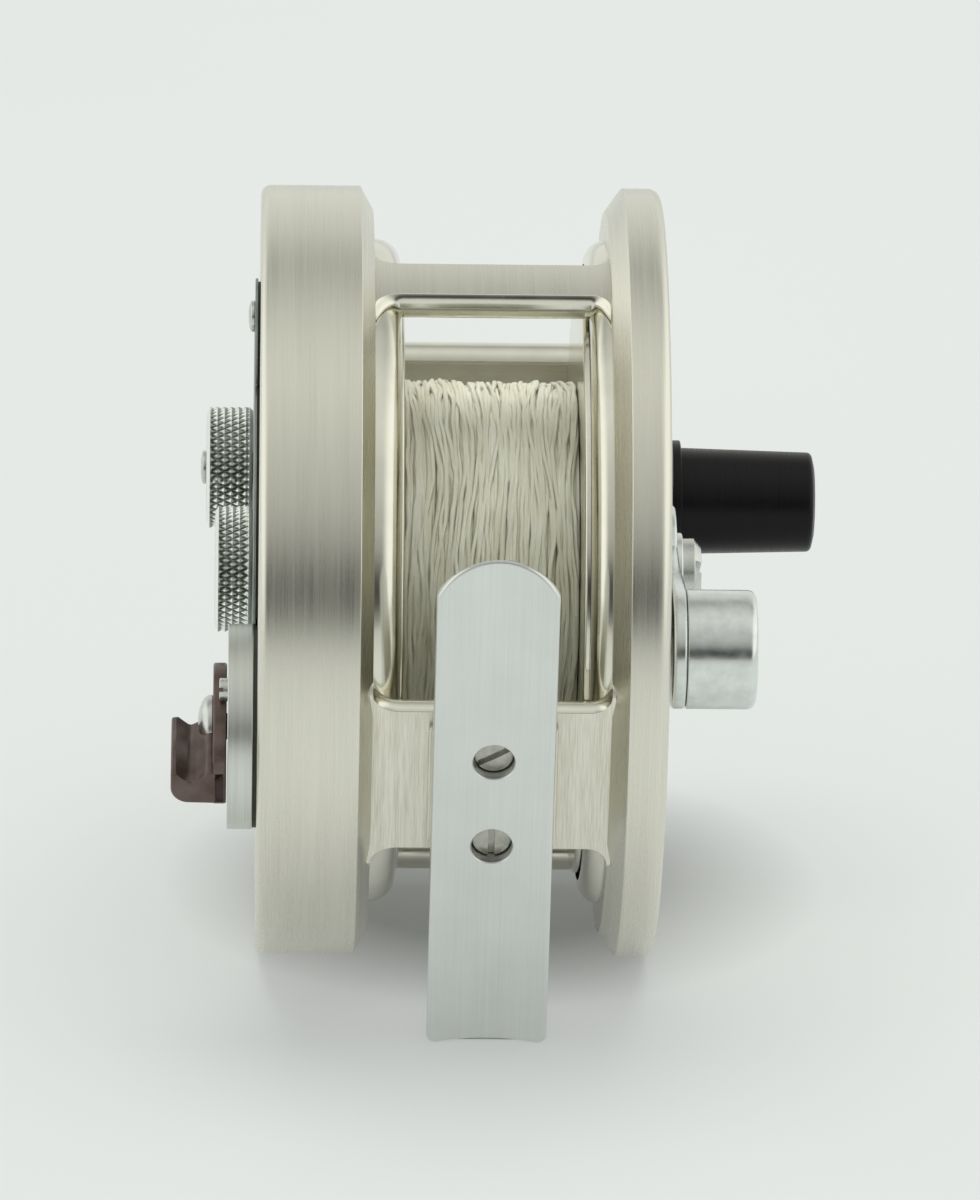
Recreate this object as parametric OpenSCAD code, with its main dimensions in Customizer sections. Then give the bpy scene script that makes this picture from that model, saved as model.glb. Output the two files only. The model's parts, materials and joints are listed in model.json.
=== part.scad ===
// Fly fishing reel: one-piece ported frame, crank-driven spool, disc drag,
// click with a selector lever, and a foot that slides into a rod's reel seat.
// The reel's own axis runs along X. Inside the module reel_frame, -Y points out
// through the foot and Z runs along the foot. reel_frame tips this so that the
// reel stands on its two rims and on the lower end of the foot.

/* [Frame] */
// Radius of the two outer rims
rim_r = 47.5; // [46:0.5:50]
// Inner side of the drag housing, where the windows start, from the middle
housing_in = 14.5; // [14.3:0.1:15]
// Outer face of the drag housing, from the middle
housing_out = 28.3; // [28:0.1:30]
// Inner side of the crank-side ring, from the middle
ring_in = 14.1; // [14:0.1:14.5]
// Outer face of the crank-side ring, from the middle
ring_out = 20.9; // [20.5:0.1:22]
// Radius of the bars' turned outer face
bar_r = 42; // [41.5:0.1:43]
// Inside radius of the bars
bar_bore_r = 38.4; // [38.2:0.1:38.6]
// Half the width of the rear bar and of the bottom bar
bar_half_w = 6.6; // [5:0.2:7]
// Half the width of the top bar, narrower where the line leaves the spool
top_bar_half_w = 4.1; // [3.5:0.1:5]
// Middle of the top bar, in degrees from the foot
top_bar_at = 93.2; // [90:0.1:96]
// Outside radius of the inner walls, between the windows and the rims
wall_r = 41; // [40.8:0.1:41.4]
// Inside radius of the inner walls
wall_bore_r = 38; // [37.8:0.1:38.2]
// How far the inner walls reach to the middle
wall_in = 11.6; // [11.5:0.1:12]

/* [Foot] */
// Outer face of the foot, from the reel's axis
foot_face = 49.5; // [48:0.5:52]
// Half the length of the foot
foot_half = 35.6; // [32:0.2:37]
// Width of the foot
foot_w = 14.6; // [13:0.2:16]
// Depth of the hollow along the outer face
foot_trough = 1.1; // [0.8:0.1:1.5]
// Flat face of the boss that carries the foot, from the reel's axis
boss_face = 43.6; // [43:0.1:44]
// Half the height of the boss
boss_half = 10; // [8:0.5:11]
// Height of the land between boss and foot
land_h = 1; // [0.5:0.1:1.5]
// Distance between the two foot screws
foot_screw_gap = 12.5; // [11:0.5:14]

/* [Spool] */
// Radius of the spool's flanges
flange_r = 37.2; // [36.5:0.1:37.4]
// Outer side of the flanges, from the middle
flange_out = 12; // [11.8:0.1:12.2]
// Thickness of a flange
flange_t = 1.2; // [0.8:0.1:1.4]
// Radius of the spool's hub
hub_r = 11; // [9:1:14]
// Radius of the wound line
line_r = 23.4; // [18:0.2:30]
// Radius of the spindle
spindle_r = 3; // [2.5:0.5:4]

/* [Crank] */
// Distance from the spindle to the handle and to the counterweight
crank_reach = 33; // [28:1:36]
// Angle of the crank above the horizontal, at the counterweight
crank_rise = 3.7; // [-10:1:20]
// Radius of the handle at its base
handle_r = 6.75; // [5:0.25:7.5]
// Tip of the handle, from the middle of the reel
handle_tip = 42.3; // [36:0.1:48]
// Radius of the counterweight
weight_r = 7.2; // [5:0.2:8]

/* [Drag and click] */
// Radius of the drag knob
drag_knob_r = 7.8; // [6:0.2:8]
// Radius of the click tension knob
tension_knob_r = 7.6; // [6:0.2:8]
// Distance from the spindle to the tension knob
tension_reach = 22; // [21:0.5:23]
// Radius of the disc under the click lever
dial_r = 12.4; // [11:0.1:12.5]
// Distance from the spindle to the click lever's pivot
dial_reach = 33; // [32.5:0.1:33]
// Outer end of the lever's thumb tab, from the middle of the reel
lever_tip = 38.6; // [37:0.1:40]
// Radius of the round plate on the housing's face
plate_r = 31; // [30:0.2:31]
// Teeth on the click wheel
click_teeth = 24; // [24:24:24]

/* [Hidden] */
$fn = 96;

champagne = [0.78, 0.74, 0.64];
satin = [0.80, 0.80, 0.79];
steel = [0.66, 0.66, 0.67];
brushed_grey = [0.62, 0.63, 0.60];
dark_grey = [0.22, 0.23, 0.22];
oxblood = [0.27, 0.13, 0.11];
black = [0.05, 0.05, 0.05];
cream = [0.86, 0.83, 0.74];
cork = [0.68, 0.50, 0.33];
brass = [0.75, 0.60, 0.32];

// The reel rests on two rims and on the foot's lower end: the outer face's lower
// corner is as far below the axis as the rims are.
foot_tilt = asin(rim_r / norm([foot_face, foot_half])) - atan2(foot_half, foot_face);
foot_reach = (foot_face - foot_trough) * cos(foot_tilt) + foot_half * sin(foot_tilt);
middle_x = (handle_tip - lever_tip) / 2;
middle_y = (rim_r - foot_reach) / 2;

// Running clearance of every shaft in its hole, and a hair for cuts that pass
// through a face
run = 0.05;
over = 0.2;

// Small flush screws and their slots
head_r = 2.2;
head_h = 1.1;
shank_r = 1.2;
slot_w = 0.6;

// Radii of the tension stem and of the screws' threads
stem_r = 2;
small_screw_r = 0.95;
weight_screw_r = 1.45;
foot_screw_r = 1.45;

// Rims
corner_r = 1.5;
bevel_w = 1.6;
bevel_r = 44.6;

// Drag housing, from its outer face inwards
cover_r = 45;
cover_t = 2.5;
cover_in = housing_out - cover_t;
cavity_r = 40.5;
web_out = 17.5;
bearing_r = 8;
bearing_w = 5;
bearing_boss_r = 11;
bearing_out = housing_in + bearing_w;
screw_ring_r = 42.5;
cover_screw_angles = [140, 220, 305];
cover_screw_l = 4.5;

// Crank-side plate
side_in = 18.4;
side_r = 42;
side_screw_ring_r = 39.7;
side_screw_angles = [30, 150, 270];
side_screw_l = 5;
side_bearing_in = ring_out - bearing_w;

// Click wheel, brake disc, cork and pressure plate along the axis
wheel_in = 19.8;
wheel_out = 21.2;
wheel_tip_r = 14;
wheel_root_r = 12.2;
brake_in = 21.7;
brake_out = 22.9;
brake_r = 17.5;
cork_out = 23.6;
press_in = 23.9;
press_out = 24.9;
thrust_out = 25.3;
drag_screw_in = 25.6;
drag_screw_r = 4;
guide_reach = 14.6;
guide_r = 1;
guide_angles = [60, 240];

// Thin plates on the housing's face
gasket_out = housing_out + 0.55;
plate_out = gasket_out + 0.6;
plate_screw_reach = 37.6;
plate_tab_r = 4.6;

// Dial disc and lever
dial_in = housing_out + 0.5;
dial_out = 31.85;
lever_in = dial_out + 0.1;
lever_base_out = 33.6;
lever_base_r = 7.7;
lever_arm = 11.6;
lever_half_w = 3.1;
shaft_r = 1.6;
pawl_in = 20;
pawl_out = 21;
pawl_pin_at = [20, -4];
pawl_pin_r = 1.2;
pawl_pin_sunk = 1.4;

// Counterbores in the foot, from the floor of its hollow
foot_bore_depth = 2.7;
foot_bore_r = 2.5;

// Crank
crank_in = 21.5;
crank_out = 23.9;
crank_half_w = 6.4;
axle_r = 2;
bush_r = 3;

// Places the whole reel as it stands
module reel_frame() {
    translate([-middle_x, -middle_y, rim_r]) rotate([foot_tilt, 0, 0]) children();
}

// Places children on the pawl's pin
module pawl_pin_place() {
    translate([0, -pawl_pin_at[0], pawl_pin_at[1]]) children();
}

// Places children at an angle from the foot's direction, positive upwards
module around(angle, reach) {
    translate([0, -reach * cos(angle), reach * sin(angle)]) children();
}

// A cylinder along the reel's axis from x0 to x1
module axial(x0, x1, r) {
    translate([x0, 0, 0]) rotate([0, 90, 0]) cylinder(h = x1 - x0, r = r);
}

// A ring along the reel's axis
module ring(x0, x1, r_in, r_out) {
    difference() {
        axial(x0, x1, r_out);
        axial(x0 - over, x1 + over, r_in);
    }
}

// A solid turned about the reel's axis from [radius, x] points
module turned(points) {
    rotate([0, 90, 0]) rotate_extrude() polygon(points);
}

// Quarter circle of points from one angle to another
function arc(centre, r, from, to, steps = 8) = [
    for (i = [0:steps]) let (t = from + (to - from) * i / steps)
        [centre[0] + r * cos(t), centre[1] + r * sin(t)]
];

// A flat shape drawn in (towards the foot, up) and given a thickness along X
module plate_shape(x0, x1) {
    translate([x0, 0, 0]) rotate([90, 0, 90]) linear_extrude(x1 - x0) mirror([1, 0]) children();
}

// A domed screw head whose flat side is at x and whose top looks to -X
module dome_head(x, r, h) {
    ball_r = (r * r + h * h) / (2 * h);
    intersection() {
        translate([x + ball_r - h, 0, 0]) sphere(r = ball_r);
        axial(x - h - over, x, r + 1);
    }
}

// A countersunk screw, flush at x, pointing inwards along direction 1 or -1
module flush_screw(x, direction, length) {
    difference() {
        translate([x, 0, 0]) rotate([0, 90 * direction, 0]) union() {
            cylinder(h = head_h, r1 = head_r, r2 = shank_r);
            cylinder(h = length, r = shank_r);
        }
        translate([x, 0, 0]) cube([head_h - over, 2 * head_r + over, slot_w], center = true);
    }
}

// The hole for a flush_screw
module flush_hole(x, direction, length) {
    translate([x, 0, 0]) rotate([0, 90 * direction, 0]) union() {
        translate([0, 0, -over]) cylinder(h = over + run, r = head_r + run);
        cylinder(h = head_h + run, r1 = head_r + run, r2 = shank_r + run);
        cylinder(h = length + over, r = shank_r + run);
    }
}

// ---- frame and foot -------------------------------------------------------

module housing_shell() {
    turned(concat(
        [[0, -housing_out]],
        arc([rim_r - corner_r, -housing_out + corner_r], corner_r, -90, 0),
        [[rim_r, -housing_in - bevel_w], [bevel_r, -housing_in], [0, -housing_in]]
    ));
}

module rim_ring() {
    turned(concat(
        [[wall_bore_r, ring_in], [bevel_r, ring_in], [rim_r, ring_in + 2.05]],
        arc([rim_r - corner_r, ring_out - corner_r], corner_r, 0, 90),
        [[wall_bore_r, ring_out]]
    ));
}

// An inner wall with a rounded outer edge; side is -1 for the drag side
module inner_wall(side) {
    lip_r = 2.4;
    x_end = side < 0 ? -housing_in : ring_in;
    x_far = side * wall_in;
    turned(concat(
        [[wall_bore_r, x_end], [wall_bore_r, x_far]],
        side < 0
            ? arc([wall_r - lip_r, x_far - lip_r], lip_r, 90, 0)
            : arc([wall_r - lip_r, x_far + lip_r], lip_r, -90, 0),
        [[wall_r, x_end]]
    ));
}

// Outline of a rim-to-rim member, in (towards the outside, along the rim): its
// outer long edges are well rounded and its inner ones only broken
function member(top, half_w, out_r) = concat(
    arc([bar_bore_r + 0.6, half_w - 0.6], 0.6, 180, 90, 3),
    arc([top - out_r, half_w - out_r], out_r, 90, 0),
    arc([top - out_r, -half_w + out_r], out_r, 0, -90),
    arc([bar_bore_r + 0.6, -half_w + 0.6], 0.6, -90, -180, 3)
);

// One bar between the two rims
module bar(angle, half_w) {
    rotate([-angle, 0, 0]) intersection() {
        plate_shape(-housing_in - 0.4, ring_in + 0.4) polygon(member(bar_r + 0.3, half_w, 1.8));
        ring(-housing_in - 1, ring_in + 1, bar_bore_r, bar_r);
    }
}

// The flat-faced boss behind the foot, with its raised land
module boss() {
    edge_r = 1.6;
    difference() {
        union() {
            plate_shape(-housing_in - 0.4, ring_in + 0.4)
                polygon(member(boss_face, boss_half, edge_r));
            translate([-foot_w / 2 - 0.5, -boss_face - land_h, -boss_half + edge_r])
                cube([foot_w + 1, land_h + 1, 2 * (boss_half - edge_r)]);
        }
        axial(-housing_in - 1, ring_in + 1, bar_bore_r);
    }
}

module frame() {
    color(champagne) reel_frame() difference() {
        union() {
            housing_shell();
            rim_ring();
            inner_wall(-1);
            inner_wall(1);
            bar(top_bar_at, top_bar_half_w);
            for (a = [180, 270]) bar(a, bar_half_w);
            boss();
        }
        // recess and cavity of the drag housing
        axial(-housing_out - over, -cover_in, cover_r + run);
        difference() {
            axial(-cover_in - over, -web_out, cavity_r);
            axial(-bearing_out, -web_out + over, bearing_boss_r);
        }
        axial(-bearing_out - over, -housing_in + over, bearing_r);
        // recess of the crank-side plate
        axial(side_in, ring_out + over, side_r + run);
        // holes for the screws and for the pawl's pin
        for (s = [-1, 1]) translate([0, 0, s * foot_screw_gap / 2])
            rotate([90, 0, 0]) cylinder(h = foot_face, r = foot_screw_r + run, $fn = 48);
        for (a = cover_screw_angles) around(a, screw_ring_r)
            axial(-cover_in - over, cover_screw_l - housing_out + over, shank_r + run, $fn = 48);
        for (a = side_screw_angles) around(a, side_screw_ring_r)
            axial(ring_out - side_screw_l - over, side_in + over, shank_r + run, $fn = 48);
        pawl_pin_place() axial(-web_out - over, -web_out + pawl_pin_sunk + 0.1, pawl_pin_r + run);
    }
}

// Side view of the foot: the outer face is straight and the ends are thin
module foot_side() {
    seat = boss_face + land_h;
    end_t = 1.5;
    polygon(concat(
        [[foot_face, -foot_half], [foot_face, foot_half], [foot_face - end_t, foot_half]],
        [for (i = [7:-1:0]) let (s = i / 8)
            [seat + (foot_face - end_t - seat) * sin(90 * s), boss_half - 1 + (foot_half - boss_half) * s]],
        [for (i = [0:7]) let (s = i / 8)
            [seat + (foot_face - end_t - seat) * sin(90 * s), -boss_half + 1 - (foot_half - boss_half) * s]],
        [[foot_face - end_t, -foot_half]]
    ));
}

// Front view of the foot: a round upper end and a square lower end
module foot_outline() {
    top_r = 8;
    low_r = 1.2;
    half_w = foot_w / 2;
    top_angle = acos(half_w / top_r);
    polygon(concat(
        arc([0, foot_half - top_r], top_r, top_angle, 180 - top_angle, 16),
        arc([-half_w + low_r, -foot_half + low_r], low_r, 180, 270, 4),
        arc([half_w - low_r, -foot_half + low_r], low_r, 270, 360, 4)
    ));
}

module foot() {
    trough_r = (foot_w * foot_w / 4 + foot_trough * foot_trough) / (2 * foot_trough);
    floor_at = foot_face - foot_trough;
    color(satin) reel_frame() difference() {
        intersection() {
            plate_shape(-foot_w / 2, foot_w / 2) foot_side();
            translate([0, -boss_face, 0]) rotate([90, 0, 0]) linear_extrude(10) foot_outline();
        }
        translate([0, -floor_at - trough_r, -foot_half - 1]) cylinder(h = 2 * foot_half + 2, r = trough_r);
        for (s = [-1, 1]) translate([0, -boss_face, s * foot_screw_gap / 2]) rotate([90, 0, 0]) union() {
            cylinder(h = foot_face, r = foot_screw_r + run, $fn = 48);
            translate([0, 0, floor_at - foot_bore_depth - boss_face])
                cylinder(h = foot_face, r = foot_bore_r);
        }
    }
}

// A cheese-head screw sunk in the foot; turn sets the slot's angle
module foot_screw(side, turn) {
    head_at = foot_face - foot_trough - foot_bore_depth;
    cheese_h = 1.3;
    length = 6.6;
    z = side * foot_screw_gap / 2;
    color(steel) reel_frame() translate([0, 0, z]) rotate([90, turn, 0]) difference() {
        union() {
            translate([0, 0, head_at]) cylinder(h = cheese_h, r = foot_bore_r - run);
            translate([0, 0, head_at - length]) cylinder(h = length + 0.1, r = foot_screw_r, $fn = 48);
        }
        translate([0, 0, head_at + cheese_h]) cube([6, 0.8, 1.2], center = true);
    }
}

module foot_screw_upper() { foot_screw(1, -30); }
module foot_screw_lower() { foot_screw(-1, 90); }

// ---- closed back of the drag housing --------------------------------------

module back_cover() {
    color(champagne) reel_frame() difference() {
        axial(-housing_out, -cover_in, cover_r);
        axial(-housing_out - over, -cover_in + over, drag_screw_r + run);
        around(180, tension_reach) axial(-housing_out - over, -cover_in + over, stem_r + run);
        around(0, dial_reach) axial(-housing_out - over, -cover_in + over, shaft_r + run);
        around(90, plate_screw_reach) axial(-housing_out - over, -cover_in + over, shank_r + run, $fn = 48);
        dial_screw_place() axial(-housing_out - over, -cover_in + over, small_screw_r + run, $fn = 48);
        for (a = guide_angles) around(a, guide_reach) axial(-cover_in - 1, -cover_in + over, guide_r);
        for (a = cover_screw_angles) around(a, screw_ring_r) flush_hole(-housing_out, 1, cover_t);
    }
}

module cover_screw(i) {
    color(steel) reel_frame() around(cover_screw_angles[i], screw_ring_r)
        flush_screw(-housing_out, 1, cover_screw_l);
}

module cover_screw_1() { cover_screw(0); }
module cover_screw_2() { cover_screw(1); }
module cover_screw_3() { cover_screw(2); }

// Outline of the round plate with its screw tab and the notch round the dial
module round_plate(r, x0, x1) {
    difference() {
        union() {
            axial(x0, x1, r);
            around(90, plate_screw_reach) axial(x0, x1, plate_tab_r);
            translate([x0, -plate_tab_r, 0]) cube([x1 - x0, 2 * plate_tab_r, plate_screw_reach]);
        }
        around(0, dial_reach) axial(x0 - over, x1 + over, dial_r + 0.4);
        axial(x0 - over, x1 + over, drag_screw_r + 0.3);
        around(180, tension_reach) axial(x0 - over, x1 + over, stem_r + 0.3);
        around(90, plate_screw_reach) axial(x0 - over, x1 + over, shank_r + run, $fn = 48);
    }
}

module back_gasket() {
    color(dark_grey) reel_frame() round_plate(plate_r - 0.4, -gasket_out, -housing_out);
}

module back_plate() {
    color(dark_grey) reel_frame() round_plate(plate_r, -plate_out, -gasket_out);
}

module plate_screw() {
    color(satin) reel_frame() around(90, plate_screw_reach) union() {
        dome_head(-plate_out, 1.9, 0.8);
        axial(-plate_out - 0.1, -cover_in, shank_r, $fn = 48);
    }
}

module dial_screw_place() {
    translate([0, -dial_reach - 4, 8.4]) children();
}

module dial_gasket() {
    color(dark_grey) reel_frame() difference() {
        around(0, dial_reach) axial(-dial_in, -housing_out, dial_r - 0.2);
        around(0, dial_reach) axial(-dial_in - over, -housing_out + over, shaft_r + run);
        dial_screw_place() axial(-dial_in - over, -housing_out + over, small_screw_r + run, $fn = 48);
    }
}

module dial_disc() {
    color(brushed_grey) reel_frame() difference() {
        around(0, dial_reach) axial(-dial_out, -dial_in, dial_r);
        around(0, dial_reach) axial(-dial_out - over, -dial_in + over, shaft_r + run);
        dial_screw_place() axial(-dial_out - over, -dial_in + over, small_screw_r + run, $fn = 48);
    }
}

module dial_screw() {
    color(steel) reel_frame() dial_screw_place() difference() {
        union() {
            axial(-dial_out - 1, -dial_out, 1.4, $fn = 48);
            axial(-dial_out - 0.1, -cover_in - 0.5, small_screw_r, $fn = 48);
        }
        translate([-dial_out - 1, 0, 0]) rotate([35, 0, 0]) cube([1, 4, 0.5], center = true);
    }
}

// ---- crank side -----------------------------------------------------------

module side_plate() {
    color(champagne) reel_frame() difference() {
        union() {
            axial(side_in, ring_out, side_r);
            axial(side_bearing_in, side_in + over, bearing_boss_r);
        }
        axial(side_bearing_in - over, ring_out + over, bearing_r);
        for (a = side_screw_angles) around(a, side_screw_ring_r) flush_hole(ring_out, -1, ring_out - side_in);
    }
}

module side_screw(i) {
    color(steel) reel_frame() around(side_screw_angles[i], side_screw_ring_r)
        flush_screw(ring_out, -1, side_screw_l);
}

module side_screw_1() { side_screw(0); }
module side_screw_2() { side_screw(1); }
module side_screw_3() { side_screw(2); }

// ---- bearings, click pin and spring, guide pins ---------------------------

module bearing(x0) {
    groove_r = (bearing_r + spindle_r) / 2;
    color(steel) reel_frame() difference() {
        ring(x0, x0 + bearing_w, spindle_r + run, bearing_r);
        for (x = [x0, x0 + bearing_w]) ring(x - 0.4, x + 0.4, groove_r - 1, groove_r + 1);
    }
}

module bearing_left() { bearing(-bearing_out); }
module bearing_right() { bearing(side_bearing_in); }

module pawl_pin() {
    color(steel) reel_frame() pawl_pin_place() union() {
        axial(-pawl_out - 0.3, -web_out + pawl_pin_sunk, pawl_pin_r, $fn = 48);
        axial(-pawl_in + 0.2, -web_out, pawl_pin_r + 0.8, $fn = 48);
    }
}

// A wire bow round the click wheel, from the tension stem towards the pawl
module click_spring() {
    bow_r = 17.2;
    wire_r = 0.4;
    color(steel) reel_frame() union() {
        translate([-20.5, 0, 0]) rotate([0, 90, 0]) rotate([0, 0, 85])
            rotate_extrude(angle = 125) translate([bow_r, 0]) circle(r = wire_r, $fn = 24);
        around(60, bow_r) axial(-20.5, -web_out, 0.6, $fn = 24);
    }
}

module guide_pin(i) {
    color(steel) reel_frame() around(guide_angles[i], guide_reach)
        axial(-cover_in - 1, -press_in, guide_r - run, $fn = 48);
}

module guide_pin_1() { guide_pin(0); }
module guide_pin_2() { guide_pin(1); }

// ---- spool and what turns with it -----------------------------------------

module spool() {
    color(champagne) reel_frame() difference() {
        union() {
            axial(-flange_out, flange_out, hub_r);
            for (s = [-1, 1]) ring(
                s < 0 ? -flange_out : flange_out - flange_t,
                s < 0 ? -flange_out + flange_t : flange_out, hub_r - 1, flange_r);
            axial(-housing_in + 0.4, side_bearing_in - 0.4, 5);
        }
        axial(-20, 20, spindle_r);
    }
}

module line() {
    line_half = flange_out - flange_t;
    color(cream) reel_frame() ring(-line_half, line_half, hub_r, line_r);
}

module spindle() {
    color(steel) reel_frame() difference() {
        axial(-brake_out, crank_out, spindle_r);
        axial(crank_out - 7, crank_out + over, weight_screw_r + run, $fn = 48);
    }
}

module click_wheel() {
    step = 360 / click_teeth;
    phase = 2.2;
    color(steel) reel_frame() difference() {
        plate_shape(-wheel_out, -wheel_in) polygon([
            for (i = [0:2 * click_teeth - 1]) let (r = i % 2 == 0 ? wheel_root_r : wheel_tip_r)
                [r * cos(i * step / 2 + phase), r * sin(i * step / 2 + phase)]
        ]);
        axial(-wheel_out - over, -wheel_in + over, spindle_r);
    }
}

module brake_disc() {
    color(steel) reel_frame() difference() {
        union() {
            axial(-brake_out, -brake_in, brake_r);
            axial(-brake_in - over, -wheel_out, 6);
        }
        axial(-brake_out - over, -wheel_out + over, spindle_r);
    }
}

module cork_washer() {
    color(cork) reel_frame() ring(-cork_out, -brake_out, 7, brake_r - 4.2);
}

// Runs children in the crank's own direction: -Y to the counterweight
module crank_frame() {
    reel_frame() rotate([-crank_rise - foot_tilt, 0, 0]) children();
}

module crank() {
    color(satin) crank_frame() difference() {
        union() {
            translate([0, -crank_reach, 0]) axial(crank_in, crank_out, weight_r);
            translate([0, crank_reach, 0]) axial(crank_in, crank_out, weight_r);
            axial(crank_in, crank_out, crank_half_w + 2);
            for (s = [-1, 1]) plate_shape(crank_in, crank_out) polygon([
                [0, s * crank_half_w], [s * crank_reach, s * weight_r],
                [s * crank_reach, -s * 4], [0, -s * crank_half_w]
            ]);
            axial(crank_out - over, crank_out + 0.9, 5);
        }
        axial(crank_in - over, crank_out + 1 + over, spindle_r);
        translate([0, -crank_reach, 0])
            axial(crank_in - over, crank_out + over, weight_screw_r + run, $fn = 48);
        translate([0, crank_reach, 0]) axial(crank_in - over, crank_out + over, axle_r);
    }
}

module hub_screw() {
    color(steel) crank_frame() difference() {
        union() {
            turned([[0, crank_out + 0.9], [4.3, crank_out + 0.9], [4.3, 26.2], [3.3, 27.1], [0, 27.1]]);
            axial(crank_out - 6, crank_out + 1, weight_screw_r, $fn = 48);
        }
        translate([27.1, 0, 0]) rotate([-29, 0, 0]) cube([1.6, 12, 1.3], center = true);
    }
}

module counterweight() {
    weight_out = 32.3;
    edge_r = 1.1;
    color(satin) crank_frame() translate([0, -crank_reach, 0]) difference() {
        turned(concat(
            [[0, crank_out], [weight_r, crank_out]],
            arc([weight_r - edge_r, weight_out - edge_r], edge_r, 0, 90),
            [[0, weight_out]]
        ));
        axial(crank_out - over, crank_out + 5, weight_screw_r + run, $fn = 48);
    }
}

module counterweight_screw() {
    color(steel) crank_frame() translate([0, -crank_reach, 0])
        axial(crank_in + 0.2, crank_out + 4.6, weight_screw_r, $fn = 48);
}

module handle_axle() {
    color(steel) crank_frame() translate([0, crank_reach, 0]) union() {
        axial(crank_in, handle_tip - 4.4, axle_r);
        axial(handle_tip - 4.4, handle_tip - 3.4, axle_r + 0.7);
    }
}

// ---- handle ---------------------------------------------------------------

module handle() {
    base_in = crank_out + 0.3;
    flange_end = 25.25;
    tip_r = 6.3;
    round_r = 2.6;
    color(black) crank_frame() translate([0, crank_reach, 0]) difference() {
        turned(concat(
            [[0, base_in], [7.6, base_in], [7.8, flange_end - 0.5], [handle_r, flange_end]],
            arc([tip_r - round_r, handle_tip - round_r], round_r, 5, 90),
            [[0, handle_tip]]
        ));
        axial(base_in - over, handle_tip - 3, bush_r);
    }
}

module handle_bush() {
    color(brass) crank_frame() translate([0, crank_reach, 0])
        ring(crank_out + 0.3, handle_tip - 4.7, axle_r + run, bush_r);
}

// ---- drag knob and pressure plate -----------------------------------------

module drag_knob() {
    knob_out = 33.5;
    color(steel) reel_frame() difference() {
        turned([
            [0, -knob_out], [drag_knob_r - 0.6, -knob_out], [drag_knob_r, -knob_out + 0.6],
            [drag_knob_r, -plate_out - 0.7], [drag_knob_r - 0.4, -plate_out - 0.3], [0, -plate_out - 0.3]
        ]);
        axial(-knob_out + 1.2, -plate_out, drag_screw_r);
    }
}

module drag_screw() {
    color(steel) reel_frame() axial(-32.3, -drag_screw_in, drag_screw_r);
}

module pressure_plate() {
    color(steel) reel_frame() difference() {
        ring(-press_out, -press_in, 4.5, brake_r - 0.5);
        for (a = guide_angles) around(a, guide_reach)
            axial(-press_out - over, -press_in + over, guide_r + run, $fn = 48);
    }
}

module thrust_washer() {
    color(steel) reel_frame() axial(-thrust_out, -press_out, 7);
}

// ---- click tension knob ---------------------------------------------------

module tension_knob() {
    knob_out = 34.6;
    color(steel) reel_frame() around(180, tension_reach) difference() {
        turned([
            [0, -knob_out], [tension_knob_r - 0.7, -knob_out], [tension_knob_r, -knob_out + 0.7],
            [tension_knob_r, -plate_out - 0.9], [tension_knob_r - 0.5, -plate_out - 0.4],
            [3.4, -plate_out - 0.4], [3.4, -plate_out - 0.15], [0, -plate_out - 0.15]
        ]);
        axial(-knob_out + 0.8, -plate_out, stem_r);
        axial(-knob_out - over, -plate_out, small_screw_r + run);
    }
}

module tension_stem() {
    cam_off = 0.7;
    color(steel) reel_frame() around(180, tension_reach) difference() {
        union() {
            axial(-33.8, -pawl_out, stem_r);
            translate([0, cam_off, 0]) axial(-pawl_out - 0.1, -pawl_in, 2.4);
        }
        axial(-33.9, -29, small_screw_r + run);
    }
}

module tension_knob_screw() {
    color(satin) reel_frame() around(180, tension_reach) union() {
        dome_head(-34.6, 2.1, 0.7);
        axial(-34.7, -29.5, small_screw_r, $fn = 48);
    }
}

// ---- click lever and pawl -------------------------------------------------

module lever() {
    scoop_r = 7;
    round_r = 1.2;
    color(oxblood) reel_frame() around(0, dial_reach) difference() {
        union() {
            axial(-lever_base_out, -lever_in, lever_base_r);
            plate_shape(-lever_base_out, -lever_in)
                polygon([[0, 6], [lever_arm, lever_half_w], [lever_arm, -lever_half_w], [0, -6]]);
            difference() {
                translate([-lever_tip, -lever_arm, -lever_half_w])
                    cube([lever_tip - lever_base_out + over, lever_arm - 2, 2 * lever_half_w]);
                translate([-lever_tip, -lever_arm, 0]) rotate([0, 0, 45])
                    cube([round_r, round_r, 20], center = true);
            }
        }
        translate([-lever_tip - 0.2, 0, lever_half_w + scoop_r - 1.5]) rotate([90, 0, 0])
            cylinder(h = 30, r = scoop_r, center = true);
        axial(-lever_base_out - 6, -lever_in + over, shaft_r);
        translate([-lever_base_out - 2, 0, 0]) axial(-4, 2, 4.1);
    }
}

module lever_screw() {
    color(satin) reel_frame() around(0, dial_reach) dome_head(-lever_base_out, 3.8, 1.9);
}

module lever_shaft() {
    color(steel) reel_frame() around(0, dial_reach) union() {
        axial(-lever_base_out, -pawl_in, shaft_r);
        plate_shape(-pawl_out, -pawl_in) polygon([[0, -1.6], [0, 1.4], [-4.9, 0.3], [-4.9, -1.1]]);
    }
}

module pawl() {
    color(steel) reel_frame() difference() {
        plate_shape(-pawl_out, -pawl_in) union() {
            translate(pawl_pin_at) circle(r = 2.4);
            polygon([
                pawl_pin_at + [-2.3, -0.6], pawl_pin_at + [0.6, 2.3],
                [15.3, 2.9], [14.45, 2.2], [14.6, 1.5]
            ]);
            polygon([
                pawl_pin_at + [-0.6, 2.3], pawl_pin_at + [1.6, -1.8],
                [27.8, 1.0], [27.6, 2.3], [24.5, 2.2]
            ]);
        }
        pawl_pin_place() axial(-pawl_out - over, -pawl_in + over, pawl_pin_r + run, $fn = 48);
    }
}

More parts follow.
